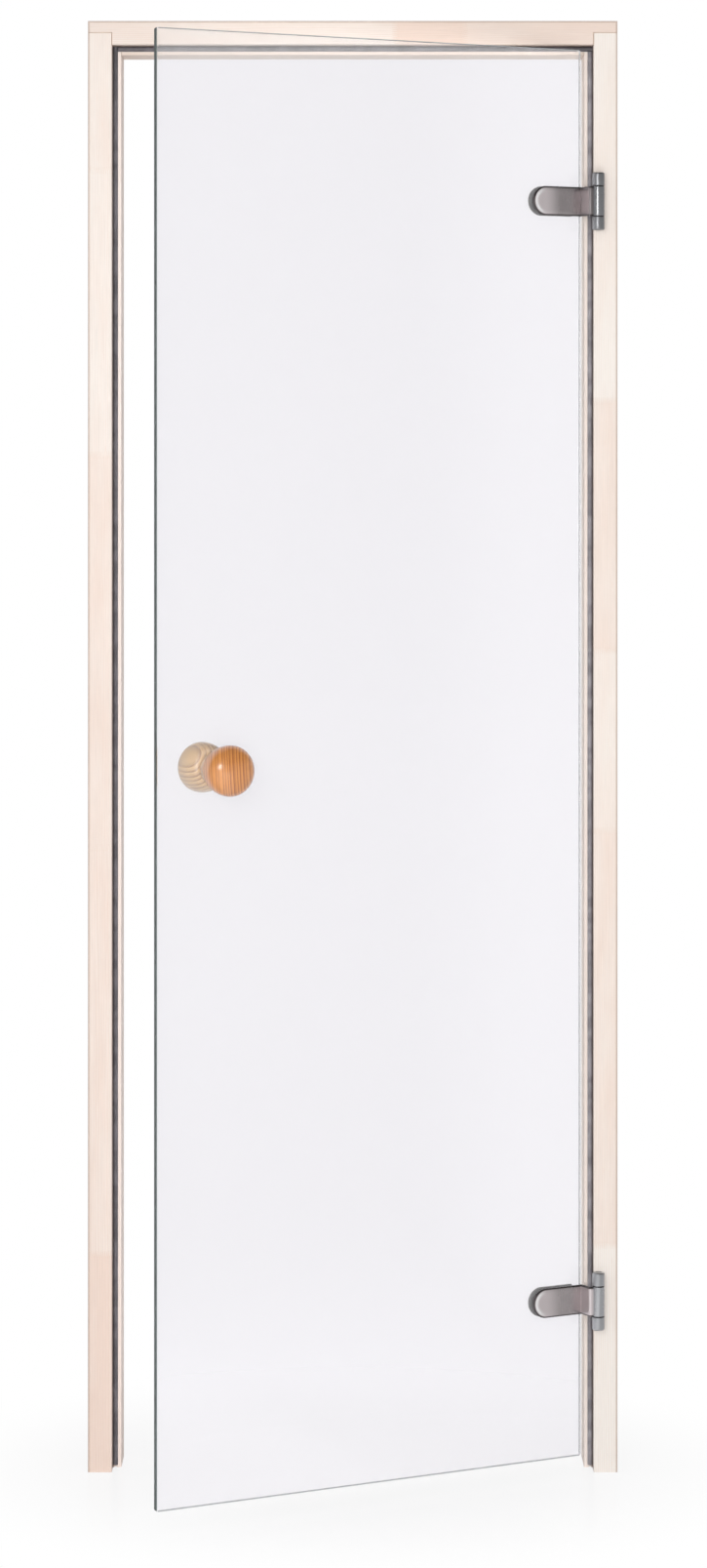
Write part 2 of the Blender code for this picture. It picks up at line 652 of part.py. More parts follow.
def add_hinge(name, height, pivot, steel, rubber):
    """One hinge: the jamb's half, pin and washers, and the leaf's half with its clamp."""
    axis = (AXIS_X, AXIS_Y, height)
    add_piece(f"{name}_hinge_jamb_plate", build_jamb_plate(), steel, location=axis)
    end = BARREL_HEIGHT / 2 - TOUCH
    pin = round_corners([(0, -end), (PIN_RADIUS, -end), (PIN_RADIUS, end), (0, end)],
                        [0, PIN_ARRIS, PIN_ARRIS, 0])
    add_piece(f"{name}_hinge_pin", turned(pin, SMALL_ROUND_STEPS), steel, location=axis)
    low = KNUCKLE_HEIGHT / 2 + TOUCH
    washer = turned([(BORE_RADIUS, low), (WASHER_RADIUS, low),
                     (WASHER_RADIUS, low + WASHER_THICKNESS),
                     (BORE_RADIUS, low + WASHER_THICKNESS)], ROUND_STEPS, closed=True)
    add_piece(f"{name}_hinge_washer_1", washer, rubber, location=axis)
    below = moved(washer, z=-2 * low - WASHER_THICKNESS)
    add_piece(f"{name}_hinge_washer_2", below, rubber, location=axis)
    screw = countersunk_screw(JAMB_SCREW_RADIUS, JAMB_SCREW_HEAD_RADIUS,
                              JAMB_SCREW_HEAD_DEPTH, JAMB_SCREW_LENGTH, "YZ")
    across = FRONT + JAMB_PLATE_REACH / 2 - AXIS_Y
    for number, place in enumerate(jamb_screw_places(0.0), start=1):
        add_piece(f"{name}_hinge_jamb_screw_{number}",
                  moved(screw, -BARREL_SETBACK, across, place), steel, location=axis)

    centre = (0.0, 0.0, height)
    add_piece(f"{name}_hinge_clamp_plate", build_clamp_plate(), steel, pivot, centre)
    add_piece(f"{name}_hinge_back_plate", build_back_plate(), steel, pivot, centre)
    front_pad = build_gasket(-GLASS_HINGE_EDGE, CLAMP_BACK + TOUCH, GLASS_FRONT - TOUCH)
    add_piece(f"{name}_hinge_front_gasket", front_pad, rubber, pivot, centre)
    back_pad = build_gasket(BACK_PLATE_START, GLASS_BACK + TOUCH, BACK_PLATE_FRONT - TOUCH)
    add_piece(f"{name}_hinge_back_gasket", back_pad, rubber, pivot, centre)
    for number, screw in enumerate(clamp_screws(countersunk_screw), start=1):
        add_piece(f"{name}_hinge_clamp_screw_{number}", screw, steel, pivot, centre)


def add_frame(wood, rubber):
    """Two jambs, the head, and the seal round the three sides."""
    add_piece("hinge_jamb", build_hinge_jamb(), wood)
    add_piece("latch_jamb", build_jamb(mirror=True), wood)
    add_piece("head", build_head(), wood)
    latch_side = LATCH_WALL + TOUCH
    hinge_side = HINGE_WALL - TOUCH
    top = HEAD_WALL - TOUCH
    under_head_seal = top - SEAL_WIDTH - TOUCH
    add_piece("seal_latch_side", build_seal(latch_side, 1, SEAL_FOOT_GAP, top), rubber)
    add_piece("seal_hinge_side", build_seal(hinge_side, -1, SEAL_FOOT_GAP, under_head_seal),
              rubber)
    start = latch_side + SEAL_WIDTH + TOUCH
    add_piece("seal_head", build_seal(top, -1, start, hinge_side, "YZ"), rubber)


def main():
    for thing in list(bpy.data.objects):
        bpy.data.objects.remove(thing, do_unlink=True)

    timber = make_material("pale_timber", (0.90, 0.80, 0.69), 0.55)
    grey_rubber = make_material("grey_rubber", (0.16, 0.15, 0.17), 0.7)
    black_rubber = make_material("black_rubber", (0.03, 0.03, 0.03), 0.6)
    satin_steel = make_material("satin_steel", (0.42, 0.41, 0.40), 0.35, metallic=1.0)
    clear_glass = make_material("clear_glass", (0.93, 0.94, 0.97), 0.02, transmission=1.0)
    knob_wood = make_material("knob_wood", (0.62, 0.30, 0.11), 0.35)

    add_frame(timber, grey_rubber)

    pivot = bpy.data.objects.new("leaf_pivot", None)
    bpy.context.scene.collection.objects.link(pivot)
    pivot.location = (AXIS_X, AXIS_Y, 0.0)
    pivot.rotation_euler.z = OPEN_ANGLE

    add_piece("glass_leaf", build_glass(), clear_glass, pivot)
    for name, height in HINGE_HEIGHTS.items():
        add_hinge(name, height, pivot, satin_steel, black_rubber)
    add_knobs(pivot, knob_wood, black_rubber, satin_steel)


main()
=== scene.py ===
"""Looks of a glass sauna door: timber frame, bulb seal, clamp hinges, pane and turned knobs.

Every size comes from the packed frame or from the settings below, in metres. The frame's
origin is on the hinge jamb's outer side at floor level, -Y is the side the leaf opens to.
The leaf's own space has the hinge axis at x = y = 0 and the closed pane towards -x.
"""

import json
import math

import bmesh
import bpy
import numpy as np
from bpy.props import FloatProperty, FloatVectorProperty, PointerProperty
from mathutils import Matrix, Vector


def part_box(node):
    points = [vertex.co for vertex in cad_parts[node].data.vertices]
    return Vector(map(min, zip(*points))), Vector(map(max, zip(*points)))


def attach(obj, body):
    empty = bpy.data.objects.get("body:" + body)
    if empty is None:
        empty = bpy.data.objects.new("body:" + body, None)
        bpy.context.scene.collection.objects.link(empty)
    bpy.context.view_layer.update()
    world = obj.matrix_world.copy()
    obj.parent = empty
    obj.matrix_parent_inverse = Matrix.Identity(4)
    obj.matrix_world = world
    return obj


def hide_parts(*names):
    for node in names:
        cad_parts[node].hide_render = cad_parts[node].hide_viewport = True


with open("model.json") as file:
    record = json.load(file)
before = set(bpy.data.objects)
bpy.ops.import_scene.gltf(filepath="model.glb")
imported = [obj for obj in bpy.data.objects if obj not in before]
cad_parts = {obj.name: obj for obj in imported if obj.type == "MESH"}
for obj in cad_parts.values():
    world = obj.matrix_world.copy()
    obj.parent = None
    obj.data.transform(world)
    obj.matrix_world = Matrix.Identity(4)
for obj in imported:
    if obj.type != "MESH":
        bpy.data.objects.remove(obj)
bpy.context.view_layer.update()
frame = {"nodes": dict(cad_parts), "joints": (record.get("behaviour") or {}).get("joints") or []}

bl_info = {
    "name": "Glass sauna door",
    "version": (1, 0, 0),
    "blender": (4, 5, 0),
    "location": "3D View > Sidebar > Sauna door",
    "description": "Dresses the packed frame of a glass sauna door and sets a plain studio",
    "category": "Object",
}

SWING = frame["joints"][0]
AXIS = np.array(SWING["pos_m"][:2])
OPEN_ANGLE = -math.radians(SWING["range_deg"][0])
HINGES = ("upper", "lower")

# Clearance between pieces that touch, distance within which points are merged, and the
# width of the hairline between two timbers.
TOUCH = 0.0003
MERGE_DISTANCE = 2e-6
SEAM = 0.0011
SHARP_ANGLE = math.radians(32)

# Tone of each timber's first stave from 0 for light to 1 for warm, and for each finger joint
# its place along the grain and the step in tone there.
LATCH_JAMB_STAVES = 1.0, [(0.289, -0.38), (0.818, -0.05), (1.33, -0.35), (1.700, 0.12)]
HINGE_JAMB_STAVES = 0.05, [(0.30, 0.50), (0.84, -0.30), (1.075, 0.30), (1.40, -0.42)]
HEAD_STAVES = 0.48, [(-0.2845, 0.57), (-0.195, -0.30)]

# The photo shows the two hinges in different light, so their steel's tones are painted light and
# shade.
BARREL_PAINTED_TONES = {"upper": 0.83, "lower": 1.22}
NECK_PAINTED_TONES = {"upper": 0.62, "lower": 1.85}
TIP_PAINTED_LIGHT = {"upper": 2.0, "lower": 1.6}

# Height between two knuckles, gap between the barrel and the neck, and height of a pin's end.
KNUCKLE_GAP, NECK_GAP, PIN_DOME = 0.0014, 0.0025, 0.0008

# Rounding of the edges of a hinge's washer, of a knob's washer and of a pad.
WASHER_EDGE, KNOB_WASHER_EDGE, PAD_EDGE = 0.00025, 0.0003, 0.0003

# Shank's radius, depth of the head and of its socket, and the countersunk hole's radii,
# depth and end.
JAMB_SCREW = {"radius": 0.002, "head_depth": 0.0018, "socket": 0.0014}
JAMB_HOLE = {"head": 0.0039, "shank": 0.0023, "depth": 0.0019, "end": 0.004}
CLAMP_SCREW = {"radius": 0.003, "head_depth": 0.0026, "socket": 0.0022}
CLAMP_HOLE = {"shank": 0.0033, "depth": 0.0029, "end": 0.005}

# Tilt of each knob's grain, place of its pith, width of its rings as a factor of the
# setting, and how unevenly they are spaced.
KNOB_GRAIN = {"front": ((math.radians(3), math.radians(2), OPEN_ANGLE), (0.30, -0.05, 0.0),
                        1.0, 2.4),
              "back": ((math.radians(82), math.radians(6), 0.0), (-0.060, -0.040, 0.0),
                       1.6, 0.7)}

# Place of each lamp with its width and height; the face lamp stands at the camera's distance.
KEY_PLACE, KEY_SIZE = (-1.2, -3.3, 1.85), (0.75, 0.75)
LOW_PLACE, LOW_SIZE = (0.1, -2.6, 0.35), (1.6, 0.6)
FACE_HEIGHT, FACE_SIZE = 1.2, (1.4, 1.8)
AIM_HEIGHT, LOW_AIM_HEIGHT = 0.95, 0.3
LENS, SENSOR_WIDTH, LENS_SHIFT = 97.5, 36.0, (0.0005, -0.2075)
FLOOR_REACH = 15.0

# How far ahead, as the cosine of an angle, the backdrop starts and is full, and the share
# of its white that shows through the pane.
BACKDROP_EDGES = (math.cos(math.radians(36)), math.cos(math.radians(14)))
THROUGH_GLASS = 0.9


def linear(*values):
    """A colour written in screen values from 0 to 255, as the light that it stands for."""
    screen = np.array(values) / 255
    light = np.where(screen <= 0.04045, screen / 12.92, ((screen + 0.055) / 1.055) ** 2.4)
    return tuple(float(value) for value in light)


# The painted highlight inside a clamp's rim, the backdrop's tint behind the pane, and dust.
PAINTED_GLINT = (0.98, 0.97, 0.97)
LILAC = linear(252, 250, 255)
DUST = linear(190, 188, 186)


def length(name, description, default):
    """A setting in metres."""
    return FloatProperty(name=name, description=description, default=default, min=0.0,
                         precision=5, subtype="DISTANCE", unit="LENGTH")


def share(name, description, default):
    """A setting from 0 to 1."""
    return FloatProperty(name=name, description=description, default=default, min=0.0,
                         max=1.0, subtype="FACTOR")


def colour(name, description, *values):
    """A setting for a colour, given in screen values."""
    return FloatVectorProperty(name=name, description=description, size=3, min=0.0, max=1.0,
                               subtype="COLOR", default=linear(*values))


# Settings

class TimberSettings(bpy.types.PropertyGroup):
    """The frame's pale timber, glued up from short staves."""

    light: colour("Light stave", "Colour of the palest stave", 240, 234, 227)
    warm: colour("Warm stave", "Colour of the warmest stave", 233, 212, 199)
    late: colour("Latewood", "Colour of the thin darker growth lines", 226, 199, 180)
    # inner is painted light on the jambs' timber inside the seal; ledge is painted shade on the
    # head's.
    inner: colour("Inner timber", "Colour of the painted-light timber inside the seal", 251, 237, 228)
    ledge: colour("Head's ledge", "Colour of the head's timber inside the seal", 236, 218, 205)
    glue: colour("Glue line", "Colour of the hairline along a finger joint", 204, 170, 140)
    # corner is painted shade on the rebate's walls beside the seal.
    corner: colour("Corner dirt", "Colour of the dirt beside the seal", 122, 96, 84)
    corner_reach: length("Corner reach", "How far that dirt comes out of the corner", 0.017)
    # arris is painted shade along the frame's outer edges.
    arris_reach: length("Arris reach", "How far the shaded edges reach onto a face", 0.0032)
    arris: colour("Arris", "Colour of the shaded outer edges", 186, 164, 150)
    ring_width: length("Growth ring width", "Spacing of the growth lines", 0.0021)
    finger_length: length("Finger length", "How far the fingers of a joint reach", 0.0095)
    finger_pitch: length("Finger pitch", "Width of one finger of a joint", 0.0026)
    roughness: share("Roughness", "How matt the planed timber is", 0.5)


class SealSettings(bpy.types.PropertyGroup):
    """The grey bulb seal on the stop."""

    rubber: colour("Rubber", "Colour of the seal", 99, 96, 100)
    # Painted light: a lighter copy of the rubber for the seal beside the hinges.
    paler: colour("Pale rubber", "Colour of the seal beside the hinges", 146, 142, 147)
    wall: length("Wall", "Thickness of the rubber round the hollow", 0.001)
    stem_width: length("Stem width", "Width of the stem in its groove", 0.0024)
    stem_depth: length("Stem depth", "How deep the stem reaches into the stop", 0.005)
    shoulder: share("Shoulder", "Straight share of the bulb's height", 0.3)
    waver: share("Waver", "How unevenly the bulb stands up, as a share", 0.03)


class HingeSettings(bpy.types.PropertyGroup):
    """The satin steel hinges and their rubber washers and pads."""

    steel: colour("Barrel steel", "Colour of the barrels", 174, 175, 178)
    clamp: colour("Clamp steel", "Colour of the clamp plates", 188, 180, 181)
    black: colour("Black rubber", "Colour of the washers and pads", 38, 36, 38)
    barrel_roughness: share("Barrel roughness", "How dull the barrels are", 0.34)
    clamp_roughness: share("Clamp roughness", "How dull the clamp plates are", 0.25)
    end_radius: length("Barrel end radius", "Rounding of the barrel's ends", 0.0022)
    joint_chamfer: length("Joint chamfer", "Broken edge where two knuckles meet", 0.0003)
    rim: length("Rim radius", "Rounding of a clamp plate's rim", 0.0014)
    pillow_width: length("Pillow width", "Width of the slight fall towards the rim", 0.007)
    pillow_drop: length("Pillow drop", "Depth of the slight fall towards the rim", 0.0006)
    bend: length("Crank bend", "Radius of the cranked neck's middle line", 0.0018)
    plate_thickness: length("Let-in plate", "Thickness of the plate in the jamb", 0.0025)
    plate_height: length("Let-in plate height", "Height of the plate in the jamb", 0.069)
    plate_corner: length("Let-in plate corner", "Corner radius of that plate", 0.003)
    setback: length("Axis setback", "How far the axis lies past the rebate wall", 0.0055)
    front_reach: length("Front reach", "From the axis to the middle of the let-in plate",
                        0.0215)


class KnobSettings(bpy.types.PropertyGroup):
    """The turned and lacquered knobs."""

    early: colour("Earlywood", "Colour between the growth lines", 224, 149, 76)
    late: colour("Latewood", "Colour of the growth lines", 136, 62, 18)
    pale: colour("Pale wood", "Colour of the knob behind the glass", 202, 163, 108)
    figure: colour("Figure", "Colour of the lines on the knob behind the glass", 96, 54, 26)
    washer: colour("Washer", "Colour of the washers under the knobs", 168, 144, 124)
    ring_width: length("Growth ring width", "Spacing of the growth lines", 0.0038)
    foot_radius: length("Foot radius", "Radius of the knob's foot", 0.0192)
    foot_height: length("Foot height", "Height of the knob's foot", 0.003)
    neck_radius: length("Neck radius", "Radius of the narrowest part", 0.018)
    neck_height: length("Neck height", "Height of the narrowest part", 0.006)
    widest: length("Widest height", "Height at which the knob is widest", 0.035)


class GlassSettings(bpy.types.PropertyGroup):
    """The toughened pane."""

    tint: colour("Tint", "Colour that the pane gives to what is behind it", 250, 250, 250)
    # pale is painted light: the pane's tint near the hinges and the foot.
    pale: colour("Pale tint", "That colour near the hinges and the foot", 255, 255, 255)
    edge: colour("Edge", "Colour of the ground edges", 76, 90, 88)
    clearness: share("Clearness", "How much of the light the pane lets through", 0.90)
    edge_width: length("Edge width", "How far the ground edge shows", 0.0008)


class StudioSettings(bpy.types.PropertyGroup):
    """Camera, lamps and the pale floor."""

    distance: length("Distance", "From the camera to the frame's middle", 5.576)
    eye: length("Eye height", "Height of the camera above the floor", 1.32)
    fill: share("Fill", "Light from all round", 0.48)
    front: share("Front", "Further light from in front", 0.18)
    room: share("Room", "How light the room beside the backdrop looks in metal", 0.46)
    high_room: share("High room", "How light the ceiling looks in metal", 0.07)
    low_room: share("Low room", "How light the floor looks in metal", 0.60)
    face: FloatProperty(name="Face", description="Power of the soft lamp by the camera",
                        default=100.0, unit="POWER")
    key: FloatProperty(name="Key", description="Power of the lamp on the left",
                       default=17.0, unit="POWER")
    low: FloatProperty(name="Low", description="Power of the lamp near the floor",
                       default=8.0, unit="POWER")
    floor: colour("Floor", "Colour of the floor", 240, 239, 241)


class DoorSettings(bpy.types.PropertyGroup):
    """All settings of the door."""

    timber: PointerProperty(type=TimberSettings)
    seal: PointerProperty(type=SealSettings)
    hinge: PointerProperty(type=HingeSettings)
    knob: PointerProperty(type=KnobSettings)
    glass: PointerProperty(type=GlassSettings)
    studio: PointerProperty(type=StudioSettings)


def settings():
    """The settings of the open scene."""
    return bpy.context.scene.sauna_door


# Shapes

def unit(vectors):
    """The same directions with a length of 1."""
    return vectors / np.maximum(np.linalg.norm(vectors, axis=-1, keepdims=True), 1e-12)


def rounded(corners, radii, steps=6):
    """Rounds the corners of a closed outline.

    Each corner becomes an arc that touches both sides. Its centre lies on the bisector, at
    the radius over the sine of half the corner's angle. A radius of 0 repeats the corner.
    """
    corner = np.asarray(corners, float)
    radius = np.broadcast_to(np.asarray(radii, float), len(corner))[:, None]
    back = unit(np.roll(corner, 1, 0) - corner)
    ahead = unit(np.roll(corner, -1, 0) - corner)
    half = np.arccos(np.clip((back * ahead).sum(1), -1, 1))[:, None] / 2
    centre = corner + unit(back + ahead) * radius / np.sin(half)
    start = corner + back * radius / np.tan(half) - centre
    end = corner + ahead * radius / np.tan(half) - centre
    first = np.arctan2(start[:, 1], start[:, 0])
    turn = np.arctan2(end[:, 1], end[:, 0]) - first
    turn = np.mod(turn + math.pi, 2 * math.pi) - math.pi
    angle = first[:, None] + turn[:, None] * np.linspace(0, 1, steps + 1)
    arc = centre[:, None] + radius[:, None] * np.stack([np.cos(angle), np.sin(angle)], -1)
    return arc.reshape(-1, 2)


def turned(profile, steps, axis="Z", lobes=None):
    """Turns a profile of radius and height about an axis.

    A point is the radius times the cosine and sine of its angle, and the height along the
    axis. lobes gives, for each point of the profile, a factor for the radius by angle.
    """
    radius, height = np.asarray(profile, float).T
    angle = np.arange(steps) * 2 * math.pi / steps
    reach = radius[:, None] * np.ones(steps)
    if lobes is not None:
        reach = reach * lobes(angle)
    a, b = reach * np.cos(angle), reach * np.sin(angle)
    along = np.broadcast_to(height[:, None], a.shape)
    order = {"Z": (a, b, along), "Y": (a, along, b), "X": (along, a, b)}[axis]
    return np.stack(order, -1)


def grid_faces(rows, columns, wrap_rows, wrap_columns):
    """The quads of a grid numbered row by row; a wrapped side joins its end to its start."""
    row, column = np.meshgrid(np.arange(rows if wrap_rows else rows - 1),
                              np.arange(columns if wrap_columns else columns - 1),
                              indexing="ij")
    below, beside = (row + 1) % rows, (column + 1) % columns
    corners = [row * columns + column, row * columns + beside,
               below * columns + beside, below * columns + column]
    return np.stack(corners, -1).reshape(-1, 4)


def mesh_from(grids, caps=()):
    """One closed mesh from grids of points, each with its two wraps, and from flat caps.

    Points that fall together, at seams and poles, are merged, and faces turned outwards.
    """
    points, faces, first = [], [], 0
    for grid, wrap_rows, wrap_columns in grids:
        rows, columns = grid.shape[:2]
        points.append(grid.reshape(-1, 3))
        faces += (grid_faces(rows, columns, wrap_rows, wrap_columns) + first).tolist()
        first += rows * columns
    for ring in caps:
        points.append(ring)
        faces.append(list(range(first, first + len(ring))))
        first += len(ring)
    mesh = bpy.data.meshes.new("shape")
    mesh.from_pydata(np.concatenate(points).tolist(), [], faces)
    return tidied(mesh)


def tidied(mesh):
    """Merges points that fall together, drops what has no area and turns faces outwards."""
    bm = bmesh.new()
    bm.from_mesh(mesh)
    bmesh.ops.remove_doubles(bm, verts=bm.verts, dist=MERGE_DISTANCE)
    bmesh.ops.dissolve_degenerate(bm, dist=MERGE_DISTANCE, edges=bm.edges)
    bmesh.ops.recalc_face_normals(bm, faces=bm.faces)
    bm.to_mesh(mesh)
    bm.free()
    return mesh


def revolved(profile, steps, axis="Z", lobes=None, ring=False):
    """A turned solid; a ring's profile closes on itself, any other ends on the axis."""
    return mesh_from([(turned(profile, steps, axis, lobes), ring, True)])


def washer_mesh(inner, outer, thickness, edge, axis="Z"):
    """A flat ring with its outer edges rounded."""
    section = [(inner, 0), (outer, 0), (outer, thickness), (inner, thickness)]
    return revolved(rounded(section, [0, edge, edge, 0], 4), 96, axis, ring=True)


def combined(operation, body, *tools):
    """A mesh joined with or cut by others, one after the other."""
    target = bpy.data.objects.new("target", body)
    bpy.context.scene.collection.objects.link(target)
    helpers = [bpy.data.objects.new("helper", tool) for tool in tools]
    for helper in helpers:
        bpy.context.scene.collection.objects.link(helper)
        modifier = target.modifiers.new("combine", "BOOLEAN")
        modifier.operation = operation
        modifier.solver = "EXACT"
        modifier.object = helper
    graph = bpy.context.evaluated_depsgraph_get()
    result = bpy.data.meshes.new_from_object(target.evaluated_get(graph))
    for thing in (*helpers, target):
        bpy.data.objects.remove(thing)
    return tidied(result)


def points_of(mesh):
    """The places of a mesh's points, one row each."""
    place = np.empty(len(mesh.vertices) * 3, np.float32)
    mesh.vertices.foreach_get("co", place)
    return place.reshape(-1, 3).astype(float)


def with_points(mesh, place):
    """The same mesh with its points put at other places."""
    mesh.vertices.foreach_set("co", place.ravel())
    mesh.update()
    return mesh


def moved(mesh, x=0.0, y=0.0, z=0.0):
    """The same mesh, shifted."""
    return with_points(mesh, points_of(mesh) + (x, y, z))


def turned_by(angle, places):
    """Places in x and y, turned about the origin by an angle."""
    cosine, sine = math.cos(angle), math.sin(angle)
    return places @ np.array([[cosine, sine], [-sine, cosine]])


def in_leaf(mesh):
    """A mesh of the leaf's own space, turned to where the leaf stands at rest.

    The turn is by the open angle about the hinge axis, then the axis's place is added.
    """
    place = points_of(mesh)
    place[:, :2] = turned_by(OPEN_ANGLE, place[:, :2]) + AXIS
    return with_points(mesh, place)


def node_box(node):
    """Lowest and highest corner of a CAD node."""
    return [np.array(corner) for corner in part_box(node)]


def leaf_box(node):
    """Lowest and highest corner of a CAD node in the leaf's own space."""
    place = points_of(frame["nodes"][node].data)
    place[:, :2] = turned_by(-OPEN_ANGLE, place[:, :2] - AXIS)
    return place.min(0), place.max(0)


def add_piece(name, mesh, material, body, slot, *nodes):
    """One finished piece, smooth where it is round, riding on its body."""
    mesh.name = name
    mesh.materials.clear()
    mesh.materials.append(material)
    mesh.shade_smooth()
    mesh.set_sharp_from_angle(angle=SHARP_ANGLE)
    piece = bpy.data.objects.new(name, mesh)
    bpy.context.scene.collection.objects.link(piece)
    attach(piece, body)
    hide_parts(*nodes)
    return piece


def toned(tint, factor):
    """A colour made lighter or darker, at most white."""
    return tuple(min(1.0, value * factor) for value in tint)


def dress(material, *nodes):
    """Gives CAD nodes that stay as they are their finished material."""
    for node in nodes:
        for material_slot in frame["nodes"][node].material_slots:
            material_slot.material = material


# Material building

class Tree:
    """Adds nodes to a tree and links or sets their inputs."""

    def __init__(self, tree):
        self.tree = tree

    def put(self, socket, value):
        """Links an output to an input, or sets the input to a plain value."""
        if isinstance(value, bpy.types.NodeSocket):
            self.tree.links.new(value, socket)
        else:
            socket.default_value = value

    def add(self, kind, inputs=None, **settings_):
        """A new node with its inputs and its own settings."""
        node = self.tree.nodes.new(kind)
        for name, value in settings_.items():
            setattr(node, name, value)
        for name, value in (inputs or {}).items():
            self.put(node.inputs[name], value)
        return node

    def math(self, operation, *values):
        node = self.add("ShaderNodeMath", operation=operation)
        for socket, value in zip(node.inputs, values):
            self.put(socket, value)
        return node.outputs[0]

    def vector(self, operation, *values):
        node = self.add("ShaderNodeVectorMath", operation=operation)
        for socket, value in zip(node.inputs, values):
            self.put(socket, value)
        return node.outputs[0]

    def mix(self, factor, one, other, blend="MIX"):
        """One colour carried towards another by a factor."""
        node = self.add("ShaderNodeMix", data_type="RGBA", blend_type=blend)
        self.put(node.inputs[0], factor)
        for socket, value in zip(node.inputs[6:8], (one, other)):
            self.put(socket, value if isinstance(value, bpy.types.NodeSocket)
                     else (*value, 1.0))
        return node.outputs[2]

    def lay(self, ground, tint, mask, most):
        """A tint laid over a colour by a mask, up to a share."""
        return self.mix(self.math("MULTIPLY", mask, most), ground, tint)

    def shade(self, ground, value):
        """A colour made darker or lighter by a value."""
        return self.mix(1.0, ground, self.join(value, value, value), "MULTIPLY")

    def ramp(self, value, low, high, to_low=0.0, to_high=1.0, smooth=True):
        """A value carried from one range to another, and held at its ends."""
        node = self.add("ShaderNodeMapRange",
                        interpolation_type="SMOOTHSTEP" if smooth else "LINEAR")
        for socket, number in zip(node.inputs, (value, low, high, to_low, to_high)):
            self.put(socket, number)
        return node.outputs[0]

    def noise(self, vector, scale, detail=2.0, roughness=0.5):
        """Noise of one scale, or of a scale for each axis."""
        if isinstance(scale, tuple):
            vector, scale = self.vector("MULTIPLY", vector, scale), 1.0
        node = self.add("ShaderNodeTexNoise", {"Vector": vector, "Scale": scale,
                                               "Detail": detail, "Roughness": roughness})
        return node.outputs["Fac"]

    def split(self, vector):
        return self.add("ShaderNodeSeparateXYZ", {0: vector}).outputs

    def join(self, x, y, z):
        return self.add("ShaderNodeCombineXYZ", {0: x, 1: y, 2: z}).outputs[0]

    def group(self, tree, inputs):
        return self.add("ShaderNodeGroup", inputs, node_tree=tree).outputs


def new_group(name, inputs, outputs):
    """A shader node group with named inputs and outputs, and its two end nodes."""
    tree = bpy.data.node_groups.new(name, "ShaderNodeTree")
    for label, kind, default in inputs:
        socket = tree.interface.new_socket(label, in_out="INPUT",
                                           socket_type=f"NodeSocket{kind}")
        if default is not None:
            socket.default_value = default
    for label, kind in outputs:
        tree.interface.new_socket(label, in_out="OUTPUT", socket_type=f"NodeSocket{kind}")
    build = Tree(tree)
    start = build.add("NodeGroupInput").outputs
    end = build.add("NodeGroupOutput").inputs
    return build, start, end


def shared_group(build):
    """Builds a node group when it is first asked for, and hands out the same one later."""
    name = build.__name__.replace("_", " ")

    def group():
        if name not in bpy.data.node_groups:
            build(name)
        return bpy.data.node_groups[name]

    group.__doc__ = build.__doc__
    return group


@shared_group
def growth_rings(name):
    """Growth lines about a pith that runs along z, and the fibres between them.

    The distance from the pith, wavered by a slow noise, is counted in ring widths. The share
    of each ring that has passed, raised to a power, is the latewood line at its end.
    """
    b, start, end = new_group(
        name,
        [("Vector", "Vector", None), ("Ring Width", "Float", 0.002),
         ("Pith", "Vector", (0.2, 0.3, 0.0)), ("Waver", "Float", 0.002),
         ("Line Sharpness", "Float", 3.0), ("Unevenness", "Float", 1.6)],
        [("Rings", "Float"), ("Fibre", "Float"), ("Blotch", "Float")])
    place = start["Vector"]
    slow = b.noise(place, (9.0, 9.0, 2.2), 3.0)
    off = b.split(b.vector("SUBTRACT", place, start["Pith"]))
    reach = b.math("SQRT", b.math("ADD", b.math("MULTIPLY", off[0], off[0]),
                                  b.math("MULTIPLY", off[1], off[1])))
    shift = b.math("MULTIPLY", b.math("SUBTRACT", slow, 0.5), start["Waver"])
    width = start["Ring Width"]
    uneven = b.noise(b.join(b.math("MULTIPLY", reach, 120.0), 0.0, 0.0), 1.0, 1.0)
    count = b.math("ADD", b.math("DIVIDE", b.math("ADD", reach, shift), width),
                   b.math("MULTIPLY", uneven, start["Unevenness"]))
    passed = b.math("FRACT", count)
    late = b.math("POWER", passed, start["Line Sharpness"])
    early = b.ramp(passed, 0.0, 0.12, 1.0, 0.0)
    b.put(end["Rings"], b.math("MAXIMUM", late, b.math("MULTIPLY", early, 0.55)))
    b.put(end["Fibre"], b.noise(place, (1500.0, 1500.0, 28.0), 3.0, 0.6))
    b.put(end["Blotch"], b.noise(place, (40.0, 40.0, 7.0), 2.0))


@shared_group
def stave_joints(name):
    """Finger joints across a member whose grain runs along z.

    The place along the grain is shifted by a zigzag across the face, and each joint that it
    has passed adds its step in tone. A hairline shows where it is within a glue's width.
    """
    joints = [(f"Joint {number}", "Float", 10.0) for number in range(1, 5)]
    steps = [(f"Step {number}", "Float", 0.0) for number in range(1, 5)]
    b, start, end = new_group(
        name,
        [("Vector", "Vector", None), ("Finger Length", "Float", 0.01),
         ("Finger Pitch", "Float", 0.003), ("First Tone", "Float", 0.3), *joints, *steps],
        [("Tone", "Float"), ("Stave", "Float"), ("Line", "Float")])
    x, _, z = b.split(start["Vector"])
    zigzag = b.math("PINGPONG", b.math("DIVIDE", x, start["Finger Pitch"]), 0.5)
    along = b.math("ADD", z, b.math("MULTIPLY", zigzag,
                                    b.math("MULTIPLY", start["Finger Length"], 2.0)))
    tone, stave, line = start["First Tone"], 0.0, 0.0
    for number in range(1, 5):
        from_joint = b.math("SUBTRACT", along, start[f"Joint {number}"])
        passed = b.math("GREATER_THAN", from_joint, 0.0)
        stave = b.math("ADD", stave, passed)
        tone = b.math("ADD", tone, b.math("MULTIPLY", passed, start[f"Step {number}"]))
        near = b.ramp(b.math("ABSOLUTE", from_joint), 0.0, 0.0009, 1.0, 0.0)
        line = b.math("MAXIMUM", line, near)
    b.put(end["Tone"], tone)
    b.put(end["Stave"], stave)
    b.put(end["Line"], line)


